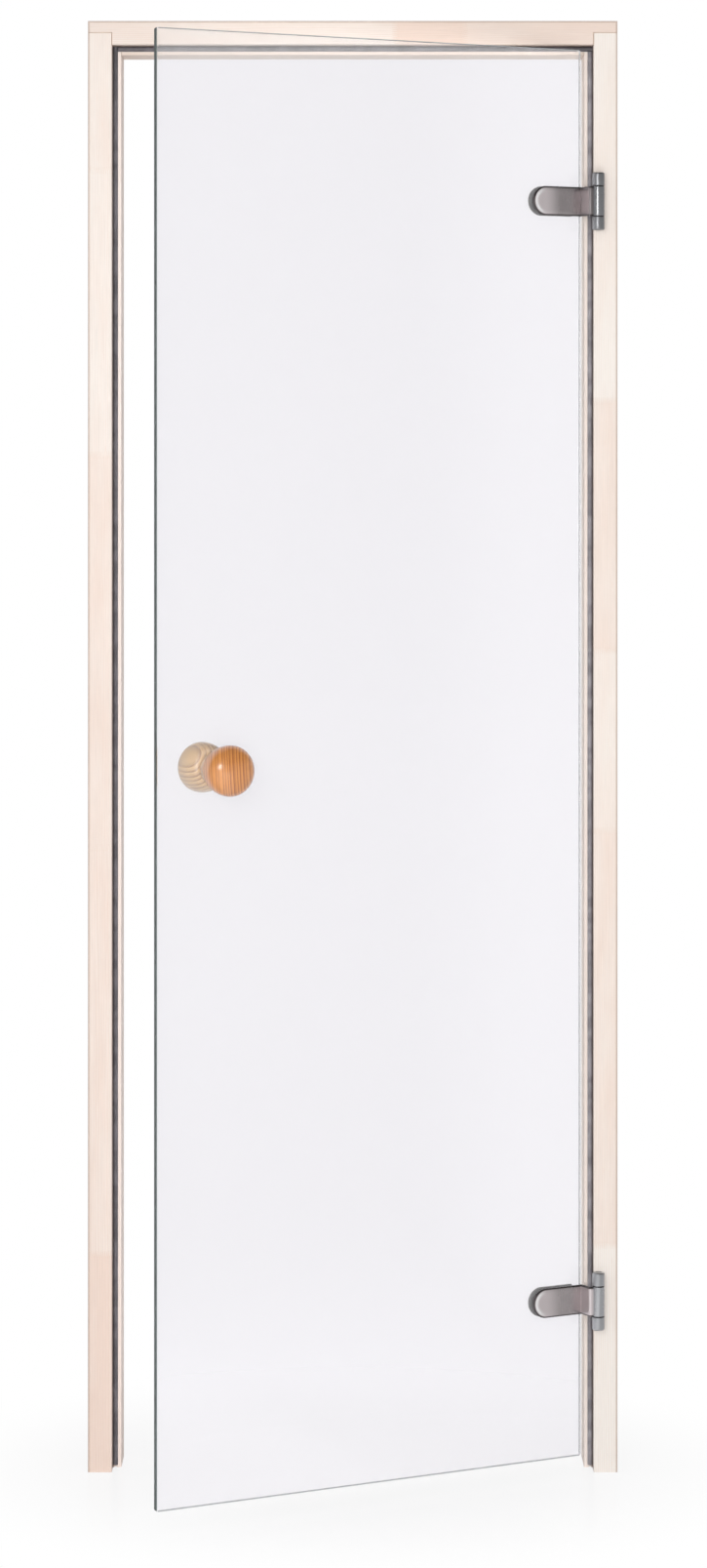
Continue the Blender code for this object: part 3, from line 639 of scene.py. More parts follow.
@shared_group
def handled_arris(name):
    """How near a point lies to an outer arris of a box: 1 on the arris, 0 away from it.

    Along an upright arris the distances to the box's sides in x and y are added, and along
    the top ones the distance to the top and the nearer side. The sum is turned to a mask.
    """
    b, start, end = new_group(
        name,
        [("Vector", "Vector", None), ("Low", "Vector", (0.0, 0.0, 0.0)),
         ("High", "Vector", (1.0, 1.0, 1.0)), ("Reach", "Float", 0.003)],
        [("Mask", "Float")])
    below = b.split(b.vector("SUBTRACT", start["Vector"], start["Low"]))
    above = b.split(b.vector("SUBTRACT", start["High"], start["Vector"]))
    x, y = (b.math("MINIMUM", below[axis], above[axis]) for axis in (0, 1))
    upright = b.math("ADD", x, y)
    top = b.math("ADD", above[2], b.math("MINIMUM", x, y))
    near = b.math("MINIMUM", upright, top)
    b.put(end["Mask"], b.ramp(near, b.math("MULTIPLY", start["Reach"], 0.5), start["Reach"],
                              1.0, 0.0))


@shared_group
def fine_wear(name):
    """Fine uneven finish: long hairlines along one axis, small specks and a slow cloud."""
    b, start, end = new_group(
        name,
        [("Vector", "Vector", None), ("Stretch", "Vector", (1.0, 1.0, 1.0)),
         ("Scale", "Float", 400.0)],
        [("Hairlines", "Float"), ("Specks", "Float"), ("Cloud", "Float")])
    place = start["Vector"]
    drawn = b.vector("MULTIPLY", place, start["Stretch"])
    b.put(end["Hairlines"], b.noise(drawn, start["Scale"], 3.0, 0.6))
    b.put(end["Specks"], b.ramp(b.noise(place, b.math("MULTIPLY", start["Scale"], 3.0), 1.0),
                                0.62, 0.75))
    b.put(end["Cloud"], b.noise(place, b.math("MULTIPLY", start["Scale"], 0.08), 2.0))


def new_material(name, **constants):
    """A material with one Principled shader, its plain values set on its own sockets."""
    material = bpy.data.materials.new(name)
    material.use_nodes = True
    b = Tree(material.node_tree)
    shader = material.node_tree.nodes["Principled BSDF"]
    for label, value in constants.items():
        shader.inputs[label.replace("_", " ").title().replace("Ior", "IOR")].default_value = value
    place = b.add("ShaderNodeTexCoord").outputs["Object"]
    return material, b, shader.inputs, place


def bump(b, shader, height, strength, distance):
    """Raises the surface by a height, in a material's normal."""
    node = b.add("ShaderNodeBump", {"Strength": strength, "Distance": distance,
                                    "Height": height})
    b.put(shader["Normal"], node.outputs[0])


def leaf_place(b, place):
    """A place turned back into the leaf's own space."""
    away = b.vector("SUBTRACT", place, (AXIS[0], AXIS[1], 0.0))
    return b.add("ShaderNodeMapping", {"Vector": away,
                                       "Rotation": (0.0, 0.0, -OPEN_ANGLE)}).outputs[0]


def mix_shader(material, b, factor, other):
    """Mixes a second shader into what the material shows."""
    tree = material.node_tree
    both = b.add("ShaderNodeMixShader", {0: factor, 1: tree.nodes["Principled BSDF"].outputs[0],
                                         2: other.outputs[0]})
    b.put(tree.nodes["Material Output"].inputs["Surface"], both.outputs[0])


def outside_opening(b, x, z=None):
    """How far a point lies outside the rebate's walls, above 0 on the frame's face: past the
    jambs' inner faces, and with z also above the head's."""
    left, right = node_box("seal_latch_side")[0][0], node_box("seal_hinge_side")[1][0]
    sides = b.math("MAXIMUM", b.math("SUBTRACT", left, x), b.math("SUBTRACT", x, right))
    if z is None:
        return sides
    top = node_box("seal_head")[1][2]
    return b.math("MAXIMUM", sides, b.math("SUBTRACT", z, top))


def corner_dirt(b, place, reach):
    """How near a point of the rebate's walls lies to the seal: 1 beside it, 0 further out.

    The depth in front of the seal is turned to a nearness, and only what lies on the walls,
    between the jambs' inner faces and their arrises, takes it.
    """
    seal = node_box("seal_latch_side")[0][1]
    wall_band = 0.0006, 0.001
    x, y, z = b.split(place)
    on_wall = b.ramp(b.math("ABSOLUTE", outside_opening(b, x, z)), *wall_band, 1.0, 0.0)
    return b.math("MULTIPLY", on_wall, b.ramp(y, seal - reach, seal))


def member_seams(b, place):
    """Hairline where the head meets a jamb: along the jamb's top, and up its inner side."""
    x, _, z = b.split(place)
    outside = outside_opening(b, x)
    below = b.math("SUBTRACT", node_box("latch_jamb")[1][2], z)
    top = b.math("MULTIPLY", b.ramp(b.math("ABSOLUTE", below), 0.0, SEAM, 1.0, 0.0),
                 b.math("GREATER_THAN", outside, 0.0))
    between = b.math("MULTIPLY", b.math("GREATER_THAN", below, 0.0),
                     b.math("GREATER_THAN", z, node_box("seal_head")[1][2]))
    beside = b.math("MULTIPLY", b.ramp(b.math("ABSOLUTE", outside), 0.0, SEAM, 1.0, 0.0),
                    between)
    return b.math("MAXIMUM", top, beside)


def timber_material(name, along, layout, pith, inner, depth=1.0):
    """Planed pale timber whose grain runs along X or Z, with its own layout of staves.

    inner is the colour of its timber inside the seal, and a depth below 1 makes it darker.
    """
    first_tone, joints = layout
    look = settings().timber
    material, b, shader, place = new_material(name, specular_ior_level=0.4)
    grain_place = place
    if along == "X":
        grain_place = b.add("ShaderNodeMapping",
                            {"Vector": place, "Rotation": (0.0, -math.pi / 2, 0.0)}).outputs[0]
    values = {"Vector": grain_place, "Finger Length": look.finger_length,
              "Finger Pitch": look.finger_pitch, "First Tone": first_tone}
    for number, (height, step) in enumerate(joints, start=1):
        values[f"Joint {number}"] = height
        values[f"Step {number}"] = step
    staves = b.group(stave_joints(), values)
    apart = b.vector("MULTIPLY", b.join(staves["Stave"], staves["Stave"], staves["Stave"]),
                     (0.031, 0.047, 1.7))
    rings = b.group(growth_rings(), {"Vector": b.vector("ADD", grain_place, apart),
                                     "Ring Width": look.ring_width, "Pith": pith,
                                     "Waver": 0.012, "Line Sharpness": 4.0})
    # A depth below 1 lowers the streaks' range and so paints shade over the whole member.
    blotch, streak, inside_seal = 0.22, (0.92 * depth, 1.03 * depth), (-0.003, -0.0015)
    tone = b.math("ADD", staves["Tone"],
                  b.ramp(rings["Blotch"], 0.25, 0.75, -blotch, blotch, smooth=False))
    wood = b.mix(b.ramp(tone, 0.0, 1.0, smooth=False), look.light, look.warm)
    wood = b.lay(wood, look.late, rings["Rings"], 0.42)
    wood = b.shade(wood, b.ramp(rings["Fibre"], 0.25, 0.75, *streak, smooth=False))
    pores = b.ramp(b.noise(grain_place, (900.0, 900.0, 55.0), 1.0), 0.71, 0.80)
    wood = b.lay(wood, look.late, pores, 0.35)
    wood = b.lay(wood, look.glue, staves["Line"], 0.45)
    wood = b.lay(wood, look.glue, member_seams(b, place), 0.6)
    # Painted shade along the outer arrises.
    edge = b.group(handled_arris(), {"Vector": place, "Low": FRAME_BOUNDS[0],
                                     "High": FRAME_BOUNDS[1], "Reach": look.arris_reach})
    wood = b.lay(wood, look.arris, edge["Mask"], 0.6)
    x, _, z = b.split(place)
    # The timber inside the seal takes its own colour: painted light on the jambs, painted shade
    # on the head.
    inside = b.ramp(outside_opening(b, x, z), *inside_seal, 1.0, 0.0)
    wood = b.lay(wood, inner, inside, 0.75)
    # Painted shade on the rebate's walls, darkest beside the seal.
    shading = corner_dirt(b, place, look.corner_reach)
    b.put(shader["Base Color"], b.lay(wood, look.corner, shading, 0.85))
    b.put(shader["Roughness"], b.ramp(rings["Rings"], 0.0, 1.0, look.roughness,
                                      look.roughness + 0.12, smooth=False))
    relief = b.math("ADD", b.math("MULTIPLY", rings["Rings"], 0.6),
                    b.math("MULTIPLY", rings["Fibre"], 0.5))
    bump(b, shader, relief, 0.25, 0.0002)
    return material


def rubber_material(name, tint, roughness, stretch):
    """Extruded rubber: fine lines along its length, dust in places."""
    material, b, shader, place = new_material(name, specular_ior_level=0.45)
    wear = b.group(fine_wear(), {"Vector": place, "Stretch": stretch, "Scale": 700.0})
    body = b.mix(b.ramp(wear["Cloud"], 0.3, 0.7), toned(tint, 0.78), toned(tint, 1.35))
    b.put(shader["Base Color"], b.lay(body, DUST, wear["Specks"], 0.3))
    b.put(shader["Roughness"], b.ramp(wear["Hairlines"], 0.3, 0.7, roughness - 0.08,
                                      roughness + 0.1, smooth=False))
    bump(b, shader, wear["Hairlines"], 0.2, 0.0001)
    return material


def drawn_steel(b, shader, place, roughness, stretch):
    """Wear of drawn steel and its roughness from the hairlines, which also raise it a little."""
    wear = b.group(fine_wear(), {"Vector": place, "Stretch": stretch, "Scale": 900.0})
    bump(b, shader, wear["Hairlines"], 0.05, 0.00005)
    return wear, b.ramp(wear["Hairlines"], 0.25, 0.75, roughness - 0.03, roughness + 0.04,
                        smooth=False)


def steel_material(name, tint, roughness, stretch):
    """Satin steel: fine drawn hairlines and a faint cloud in its gloss."""
    material, b, shader, place = new_material(name, metallic=1.0)
    wear, rough = drawn_steel(b, shader, place, roughness, stretch)
    b.put(shader["Base Color"], b.mix(b.ramp(wear["Cloud"], 0.3, 0.7), toned(tint, 0.92),
                                      tint))
    b.put(shader["Roughness"], b.math("ADD", rough, b.math("MULTIPLY", wear["Specks"], 0.05)))
    return material


def clamp_material(name, tint, barrel_tint, roughness):
    """Satin steel of the clamp plates: darker along the rim, lighter and duller to the tip.

    The rim is found from the tongue's outline, which is a straight band with a half circle
    at its tip: the half width less the distance from the band's middle line. Next to the
    hinge axis the colour is the barrels'.
    """
    material, b, shader, place = new_material(name)
    wear, rough = drawn_steel(b, shader, place, roughness, (1.0, 1.0, 0.04))
    x, _, z = b.split(leaf_place(b, place))
    rise = None
    for hinge in HINGES:
        low, high = leaf_box(f"{hinge}_hinge_clamp_plate")
        off = b.math("ABSOLUTE", b.math("SUBTRACT", z, float(low[2] + high[2]) / 2))
        rise = off if rise is None else b.math("MINIMUM", rise, off)
    half, tip = float(high[2] - low[2]) / 2, float(low[0])
    past = b.math("MINIMUM", b.math("SUBTRACT", x, tip + half), 0.0)
    reach = b.math("SQRT", b.math("ADD", b.math("MULTIPLY", past, past),
                                  b.math("MULTIPLY", rise, rise)))
    inset = b.math("SUBTRACT", half, reach)
    # Bands along the plate from the axis, and bands in from its outline, in metres.
    barrel_side, neck_end = (-0.0092, -0.0082), (-0.0165, -0.0125)
    rim_band, glint_start, glint_end = (0.0012, 0.0026), (0.0022, 0.0034), (0.0040, 0.0090)
    on_plate = b.ramp(x, *barrel_side, 1.0, 0.0)
    on_neck = b.ramp(x, *neck_end)
    # Painted shade along the rim.
    rim = b.math("MULTIPLY", b.ramp(inset, *rim_band, 1.0, 0.0), on_plate)
    # Painted light, growing towards the tip.
    outward = b.ramp(x, tip * 0.50, tip * 0.80)
    # A painted highlight in a band just inside the rim, near the tip.
    painted_glint = b.math("MULTIPLY", b.ramp(inset, *glint_start), b.ramp(inset, *glint_end, 1.0, 0.0))
    painted_glint = b.math("MULTIPLY", painted_glint, b.ramp(x, tip * 0.76, tip * 0.92))

    middle = node_box("glass_leaf")[1][2] / 2
    upper = b.math("GREATER_THAN", z, float(middle))

    # Each hinge takes its own painted light and shade.
    def by_hinge(ground, tones):
        return b.mix(upper, toned(ground, tones["lower"]), toned(ground, tones["upper"]))

    # Painted light and shade: the neck, the barrel side and the tip take each hinge's painted
    # tones.
    body = b.mix(b.ramp(wear["Cloud"], 0.3, 0.7), toned(tint, 0.93), tint)
    body = b.mix(on_neck, body, by_hinge(tint, NECK_PAINTED_TONES))
    body = b.mix(on_plate, by_hinge(barrel_tint, BARREL_PAINTED_TONES), body)
    body = b.mix(outward, body, by_hinge(tint, TIP_PAINTED_LIGHT))
    body = b.mix(painted_glint, body, PAINTED_GLINT)
    # The rim is painted dark: painted shade.
    b.put(shader["Base Color"], b.mix(rim, body, toned(tint, 0.25)))
    for mask, more in ((outward, 0.14), (b.math("MULTIPLY", on_neck, on_plate), 0.2),
                       (painted_glint, 0.2)):
        rough = b.math("ADD", rough, b.math("MULTIPLY", mask, more))
    b.put(shader["Roughness"], rough)
    # Less metal in the painted highlight, so that it reads white.
    b.put(shader["Metallic"], b.math("SUBTRACT", 1.0, b.math("MULTIPLY", painted_glint, 0.5)))
    return material


def glass_material():
    """Clear toughened glass with a ground, greenish edge.

    The place is turned back into the leaf's own space, where the pane is a box, and the edge
    is what lies within its width of the pane's four narrow sides.
    """
    look = settings().glass
    material, b, shader, place = new_material("clear glass", ior=1.5, metallic=0.0,
                                              transmission_weight=look.clearness)
    low, high = leaf_box("glass_leaf")
    x, _, z = b.split(leaf_place(b, place))
    sides = b.math("MINIMUM", b.math("SUBTRACT", x, low[0]), b.math("SUBTRACT", high[0], x))
    ends = b.math("MINIMUM", b.math("SUBTRACT", z, low[2]), b.math("SUBTRACT", high[2], z))
    edge = b.ramp(b.math("MINIMUM", sides, ends), look.edge_width * 0.5, look.edge_width,
                  1.0, 0.0)
    wide, tall = float(high[0] - low[0]), float(high[2] - low[2])
    # Painted light: the tint grows paler towards the hinge side and near the foot.
    paler = b.math("MAXIMUM", b.ramp(x, low[0] + wide * 0.55, low[0] + wide * 0.95),
                   b.ramp(z, low[2] + tall * 0.04, low[2] + tall * 0.2, 1.0, 0.0))
    tint = b.mix(edge, b.mix(paler, look.tint, look.pale), look.edge)
    b.put(shader["Base Color"], tint)
    smears = b.ramp(b.noise(place, (6.0, 6.0, 3.0), 3.0), 0.45, 0.8, 0.0, 0.005)
    b.put(shader["Roughness"], b.math("ADD", smears, b.math("MULTIPLY", edge, 0.38)))
    mix_shader(material, b, b.add("ShaderNodeLightPath").outputs["Is Shadow Ray"],
               b.add("ShaderNodeBsdfTransparent", {"Color": b.mix(edge, look.pale, look.edge)}))
    return material


def knob_material(side, early, late):
    """Lacquered softwood with strong growth lines.

    The place is taken from the knob's own middle in the leaf's space and tilted, so that the
    lines stand upright on one knob and curve on the other.
    """
    tilt, pith, width, unevenness = KNOB_GRAIN[side]
    material, b, shader, place = new_material(f"knob wood {side}", specular_ior_level=0.5,
                                              coat_weight=1.0, coat_roughness=0.23,
                                              coat_ior=1.9)
    low, high = leaf_box("knob_bolt")
    centred = b.vector("SUBTRACT", leaf_place(b, place), ((low + high) / 2).tolist())
    tilted = b.add("ShaderNodeMapping", {"Vector": centred, "Rotation": tilt}).outputs[0]
    rings = b.group(growth_rings(), {"Vector": tilted, "Pith": pith, "Waver": 0.005,
                                     "Ring Width": settings().knob.ring_width * width,
                                     "Line Sharpness": 2.2, "Unevenness": unevenness})
    patch = b.ramp(b.noise(tilted, (48.0, 48.0, 14.0), 1.0), 0.38, 0.62)
    strength = b.ramp(patch, 0.0, 1.0, 0.65, 1.0, smooth=False)
    wood = b.mix(b.math("MULTIPLY", rings["Rings"], strength), early, late)
    wood = b.shade(wood, b.ramp(rings["Fibre"], 0.25, 0.75, 0.88, 1.1, smooth=False))
    wear = b.group(fine_wear(), {"Vector": tilted, "Stretch": (1.0, 1.0, 0.3),
                                 "Scale": 500.0})
    b.put(shader["Base Color"], b.lay(wood, toned(early, 0.8),
                                      b.ramp(wear["Cloud"], 0.35, 0.75), 0.3))
    b.put(shader["Roughness"], b.ramp(wear["Hairlines"], 0.3, 0.7, 0.36, 0.5, smooth=False))
    bump(b, shader, b.math("ADD", rings["Rings"], rings["Fibre"]), 0.12, 0.0001)
    return material


# Timber frame

def frame_bounds():
    """Lowest and highest corner of the three timber members together."""
    boxes = np.array([node_box(node) for node in ("hinge_jamb", "latch_jamb", "head")])
    return boxes[:, 0].min(0).tolist(), boxes[:, 1].max(0).tolist()


FRAME_BOUNDS = frame_bounds()


class DOOR_OT_timber(bpy.types.Operator):
    """Finish the two jambs and the head as planed, finger-jointed timber"""

    bl_idname = "sauna_door.timber"
    bl_label = "Timber frame"

    def execute(self, context):
        look = settings().timber
        low, high = FRAME_BOUNDS
        latch_pith = (low[0] - 0.16, 0.21, 0.0)
        hinge_pith = (high[0] + 0.22, 0.17, 0.0)
        head_pith = (-high[2] - 0.30, 0.24, 0.0)
        # The jambs get painted light inside the seal; the head gets painted shade from its ledge
        # colour and a depth of 0.98.
        dress(timber_material("timber latch jamb", "Z", LATCH_JAMB_STAVES, latch_pith,
                              look.inner), "latch_jamb")
        dress(timber_material("timber hinge jamb", "Z", HINGE_JAMB_STAVES, hinge_pith,
                              look.inner), "hinge_jamb")
        dress(timber_material("timber head", "X", HEAD_STAVES, head_pith, look.ledge, 0.98),
              "head")
        return {"FINISHED"}


# Seal

def seal_section(look, width, height, base):
    """The seal's outer and inner loop, as distance across and height above the stop.

    The bulb is half an ellipse on straight shoulders, over a flat base with a stem. The
    hollow is an ellipse, and each of its points lies in line with one of the outer loop.
    """
    half = width / 2
    shoulder = base + (height - base) * look.shoulder
    angle = np.linspace(math.pi, 0, 25)
    bulb = np.stack([half + half * np.cos(angle),
                     shoulder + (height - shoulder) * np.sin(angle)], -1)
    stem = look.stem_width / 2
    root = np.array([[width, base], [half + stem, base], [half + stem, -look.stem_depth],
                     [half - stem, -look.stem_depth], [half - stem, base], [0.0, base]])
    outer = np.concatenate([bulb, root])
    tall = (height - base) / 2 - look.wall
    wide = half - look.wall
    centre = np.array([half, base + look.wall + tall])
    way = unit(outer - centre)
    reach = 1 / np.sqrt((way[:, 0] / wide) ** 2 + (way[:, 1] / tall) ** 2)
    return outer, centre + way * reach[:, None]


def seal_mesh(node, towards, along):
    """A length of seal: its section carried along the node, the bulb wavering slightly."""
    look = settings().seal
    low, high = node_box(node)
    across = 0 if along == 2 else 2
    stop = high[1] - look.stem_depth
    outer, inner = seal_section(look, high[across] - low[across], stop - low[1], TOUCH)
    place = np.linspace(low[along], high[along], 49)
    sink = 1 - look.waver * (0.5 + 0.5 * np.sin(place * 23.0) * np.sin(place * 9.1 + 1.0))
    side = low[across] if towards > 0 else high[across]
    grids = []
    for loop in (outer, inner):
        grid = np.empty((len(place), len(loop), 3))
        raised = np.where(loop[:, 1] > 0, sink[:, None], 1.0)
        grid[:, :, across] = side + towards * loop[:, 0]
        grid[:, :, 1] = stop - loop[:, 1] * raised
        grid[:, :, along] = place[:, None]
        grids.append(grid)
    ends = [(np.stack([grids[0][end], grids[1][end]]), False, True) for end in (0, -1)]
    return mesh_from([(grids[0], False, True), (grids[1], False, True), *ends])


class DOOR_OT_seals(bpy.types.Operator):
    """Run the hollow bulb seal up both jambs and along the head"""

    bl_idname = "sauna_door.seals"
    bl_label = "Bulb seals"

    def execute(self, context):
        look = settings().seal
        # The hinge side's seal takes the paler rubber, which is painted light.
        for node, towards, along, tint in (("seal_latch_side", 1, 2, look.rubber),
                                           ("seal_hinge_side", -1, 2, look.paler),
                                           ("seal_head", -1, 0, look.rubber)):
            stretch = [1.0, 1.0, 1.0]
            stretch[along] = 0.02
            material = rubber_material(f"rubber {node}".replace("_", " "), tint, 0.52, stretch)
            add_piece(f"bulb_{node}", seal_mesh(node, towards, along), material, "frame",
                      "grey_rubber", node)
        return {"FINISHED"}


# Hinges

def knuckle_profile(inner, outer, low, high, low_radius, high_radius):
    """Section of a knuckle between its bore and its round, with its outer edges rounded."""
    corners = [(inner, low), (outer, low), (outer, high), (inner, high)]
    return rounded(corners, [0, low_radius, high_radius, 0], 8)


def screw_mesh(head_radius, length_, sides, axis, way, radius, head_depth, socket):
    """A countersunk screw with a socket of six sides or six lobes in its flat head.

    Its profile runs from the socket's floor out over the head's face and down the cone to
    the tip. Within the socket the radius follows the angle. way is 1 or -1 along the axis.
    """
    chamfer = 0.0003
    profile = np.array([(0, socket), (socket, socket), (socket, 0.0),
                        (head_radius - chamfer, 0.0), (head_radius, chamfer),
                        (radius, head_depth), (radius, length_ - radius), (0, length_)])
    profile[:, 1] *= way

    def lobes(angle):
        if sides == "flat":
            step = np.mod(angle, math.pi / 3) - math.pi / 6
            form = math.cos(math.pi / 6) / np.cos(step)
        else:
            form = 0.86 + 0.14 * np.cos(6 * angle)
        table = np.ones((len(profile), len(angle)))
        table[1:3] = form
        return table

    return revolved(profile, 48, axis, lobes)


def countersink(head, shank, depth, end):
    """Profile of a countersunk hole: straight past the face, a cone, then the shank."""
    above, edge = 0.001, 0.0003
    return np.array([(0, -above), (head, -above), (head, edge), (shank, depth), (shank, end),
                     (0, end)])


def jamb_plate_mesh(low, high, axis):
    """The let-in plate with its two knuckles and its countersunk holes."""
    look = settings().hinge
    middle = (low[2] + high[2]) / 2
    low, high = low - (*axis, middle), high - (*axis, middle)
    barrel = -low[1]
    half = high[2]
    own_low, own_high = leaf_box("upper_hinge_clamp_plate")
    start = (own_high[2] - own_low[2]) / 2 + KNUCKLE_GAP
    near, clear = barrel / 2, barrel * 1.2
    top = look.plate_height / 2
    far = high[1]
    outline = [(near, -top), (far, -top), (far, top), (near, top), (near, start + TOUCH),
               (clear, start + TOUCH), (clear, -start - TOUCH), (near, -start - TOUCH)]
    corner = look.plate_corner
    outline = rounded(outline, [0, corner, corner, 0, 0, 0, 0, 0], 8)
    outline = outline[np.linalg.norm(outline - np.roll(outline, 1, 0), axis=1) > 1e-9]
    face = -look.setback
    rings = np.array([np.column_stack([np.full(len(outline), x), outline])
                      for x in (face, face + look.plate_thickness)])
    plate = mesh_from([(rings, False, True)], caps=rings)
    pin = leaf_pin_radius() + TOUCH
    knuckles = [revolved(knuckle_profile(pin, barrel, *ends), 96, ring=True)
                for ends in ((start, half, look.joint_chamfer, look.end_radius),
                             (-half, -start, look.end_radius, look.joint_chamfer))]
    holes = [moved(revolved(countersink(**JAMB_HOLE), 32, "X"), face, look.front_reach, place)
             for place in jamb_screw_places()]
    plate = combined("UNION", plate, *knuckles)
    return combined("DIFFERENCE", plate, *holes)


def leaf_pin_radius():
    """Radius of the hinge pins."""
    low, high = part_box("upper_hinge_pin")
    return (high.x - low.x) / 2


def jamb_screw_places():
    """Heights of the jamb screws from the middle of their hinge."""
    plate, *screws = [sum(node_box(f"upper_hinge_{piece}"))[2] / 2 for piece in
                      ("jamb_plate", "jamb_screw_1", "jamb_screw_2", "jamb_screw_3")]
    return [screw - plate for screw in screws]


def bent_path(corners, bend, steps=10):
    """A path with rounded inner corners, with its stations, places and normals.

    Stations are distances along the path. The normal is the path's direction turned a
    quarter to the right, which is backwards where the path runs towards the tip.
    """
    corner = np.asarray(corners, float)
    radii = [0.0] + [bend] * (len(corner) - 2) + [0.0]
    # A far point closes the outline, so that both ends keep their own direction.
    points = rounded(np.concatenate([corner, [corner[0] + (1.0, -1.0)]]), [*radii, 0.0],
                     steps)[:-(steps + 1)]
    keep = np.r_[True, np.linalg.norm(np.diff(points, axis=0), axis=1) > 1e-7]
    points = points[keep]
    way = unit(np.gradient(points, axis=0))
    way[0], way[-1] = unit(points[1] - points[0]), unit(points[-1] - points[-2])
    station = np.r_[0.0, np.cumsum(np.linalg.norm(np.diff(points, axis=0), axis=1))]
    normal = np.stack([way[:, 1], -way[:, 0]], -1)
    return station, points, normal


def tongue_mesh(corners, bend, half, thickness, rim, pillow, outward, back_rim=0.0003):
    """A clamp plate: a flat tongue with a round tip, carried along a bent path.

    Its section is given by the inset from the outline and the offset from the middle of the
    thickness: flat at the inner side, up the wall, over the rim by a quarter circle, and up
    the pillow by a parabola to the middle line. An inset outline has straight sides and a
    half circle at the tip, all moved in by the inset.
    """
    station, points, normal = bent_path(corners, bend)
    total = station[-1]
    quarter = np.linspace(0, math.pi / 2, 7)
    width, drop = pillow
    falls = np.linspace(0, 1, 12)[1:] * max(width - rim, 0.0)
    outer_inset = np.r_[rim * (1 - np.cos(quarter)), rim + falls, half]
    depth = np.r_[rim * (1 - np.sin(quarter)), np.zeros(len(falls) + 1)]
    depth += drop * np.clip(1 - outer_inset / max(width, 1e-6), 0, 1) ** 2
    outer_offset = outward * (thickness / 2 - depth)
    inner_inset = np.r_[half, back_rim * (1 - np.cos(quarter[::-1]))]
    inner_offset = -outward * (thickness / 2 - np.r_[0, back_rim * (1 - np.sin(quarter[::-1]))])
    inset = np.r_[inner_inset, outer_inset]
    offset = np.r_[inner_offset, outer_offset]

    straight = np.r_[station[station < total - half - 1e-6], total - half]
    angle = np.linspace(-math.pi / 2, math.pi / 2, 49)
    reach = half - inset[:, None]
    along = np.concatenate([np.broadcast_to(straight, (len(inset), len(straight))),
                            total - half + reach * np.cos(angle[1:-1]),
                            np.broadcast_to(straight[::-1], (len(inset), len(straight)))], 1)
    side = np.r_[-np.ones(len(straight)), np.sin(angle[1:-1]), np.ones(len(straight))]
    height = reach * side
    middle = np.stack([np.interp(along, station, points[:, axis]) for axis in (0, 1)], -1)
    out = unit(np.stack([np.interp(along, station, normal[:, axis]) for axis in (0, 1)], -1))
    flat = middle + out * offset[:, None, None]
    grid = np.concatenate([flat, height[..., None]], -1)
    rows = len(inset) - 1
    start = np.concatenate([grid[:, 0], grid[rows - 1:0:-1, -1]])
    return mesh_from([(grid, False, False)], caps=[start])


def flat_tongue(low, high, rim, pillow):
    """A straight tongue as large as a box of the leaf's space, its middle at height 0."""
    plane = (low[1] + high[1]) / 2
    return tongue_mesh([(high[0], plane), (low[0], plane)], 0.0, (high[2] - low[2]) / 2,
                       high[1] - low[1], rim, pillow, 1)


def clamp_plate_mesh(name):
    """The leaf's half of a hinge: middle knuckle, cranked neck and front clamp plate."""
    look = settings().hinge
    low, high = leaf_box(f"{name}_hinge_clamp_plate")
    back_low, back_high = leaf_box(f"{name}_hinge_back_plate")
    thickness = back_high[1] - back_low[1]
    half, middle = (high[2] - low[2]) / 2, (high[2] + low[2]) / 2
    barrel = high[0]
    plane = high[1] - thickness / 2
    neck = -(barrel + NECK_GAP + thickness / 2)
    inside_knuckle = -barrel * 0.72
    corners = [(inside_knuckle, 0.0), (neck, 0.0), (neck, plane), (low[0], plane)]
    tongue = tongue_mesh(corners, look.bend, half, thickness, look.rim,
                         (look.pillow_width, look.pillow_drop), -1)
    profile = knuckle_profile(leaf_pin_radius() + TOUCH, barrel, -half, half,
                              look.joint_chamfer, look.joint_chamfer)
    knuckle = revolved(profile, 96, ring=True)
    return in_leaf(moved(combined("UNION", knuckle, tongue), z=middle))


def back_plate_mesh(name):
    """The plate behind the glass, countersunk for its screws."""
    look = settings().hinge
    low, high = leaf_box(f"{name}_hinge_back_plate")
    plate = flat_tongue(low, high, look.rim, (look.pillow_width, look.pillow_drop * 0.5))
    holes = []
    for number in (1, 2):
        screw_low, screw_high = leaf_box(f"{name}_hinge_clamp_screw_{number}")
        x = (screw_low[0] + screw_high[0]) / 2
        head = (screw_high[0] - screw_low[0]) / 2 + TOUCH
        profile = countersink(head, **CLAMP_HOLE) * (1, -1)
        holes.append(moved(revolved(profile, 48, "Y"), x, high[1]))
    return in_leaf(moved(combined("DIFFERENCE", plate, *holes), z=(low[2] + high[2]) / 2))


def pad_mesh(node):
    """A soft pad between a plate and the glass, cut to the plate's outline."""
    low, high = leaf_box(node)
    mesh = flat_tongue(low, high, PAD_EDGE, (0.0, 0.0))
    return in_leaf(moved(mesh, z=(low[2] + high[2]) / 2))


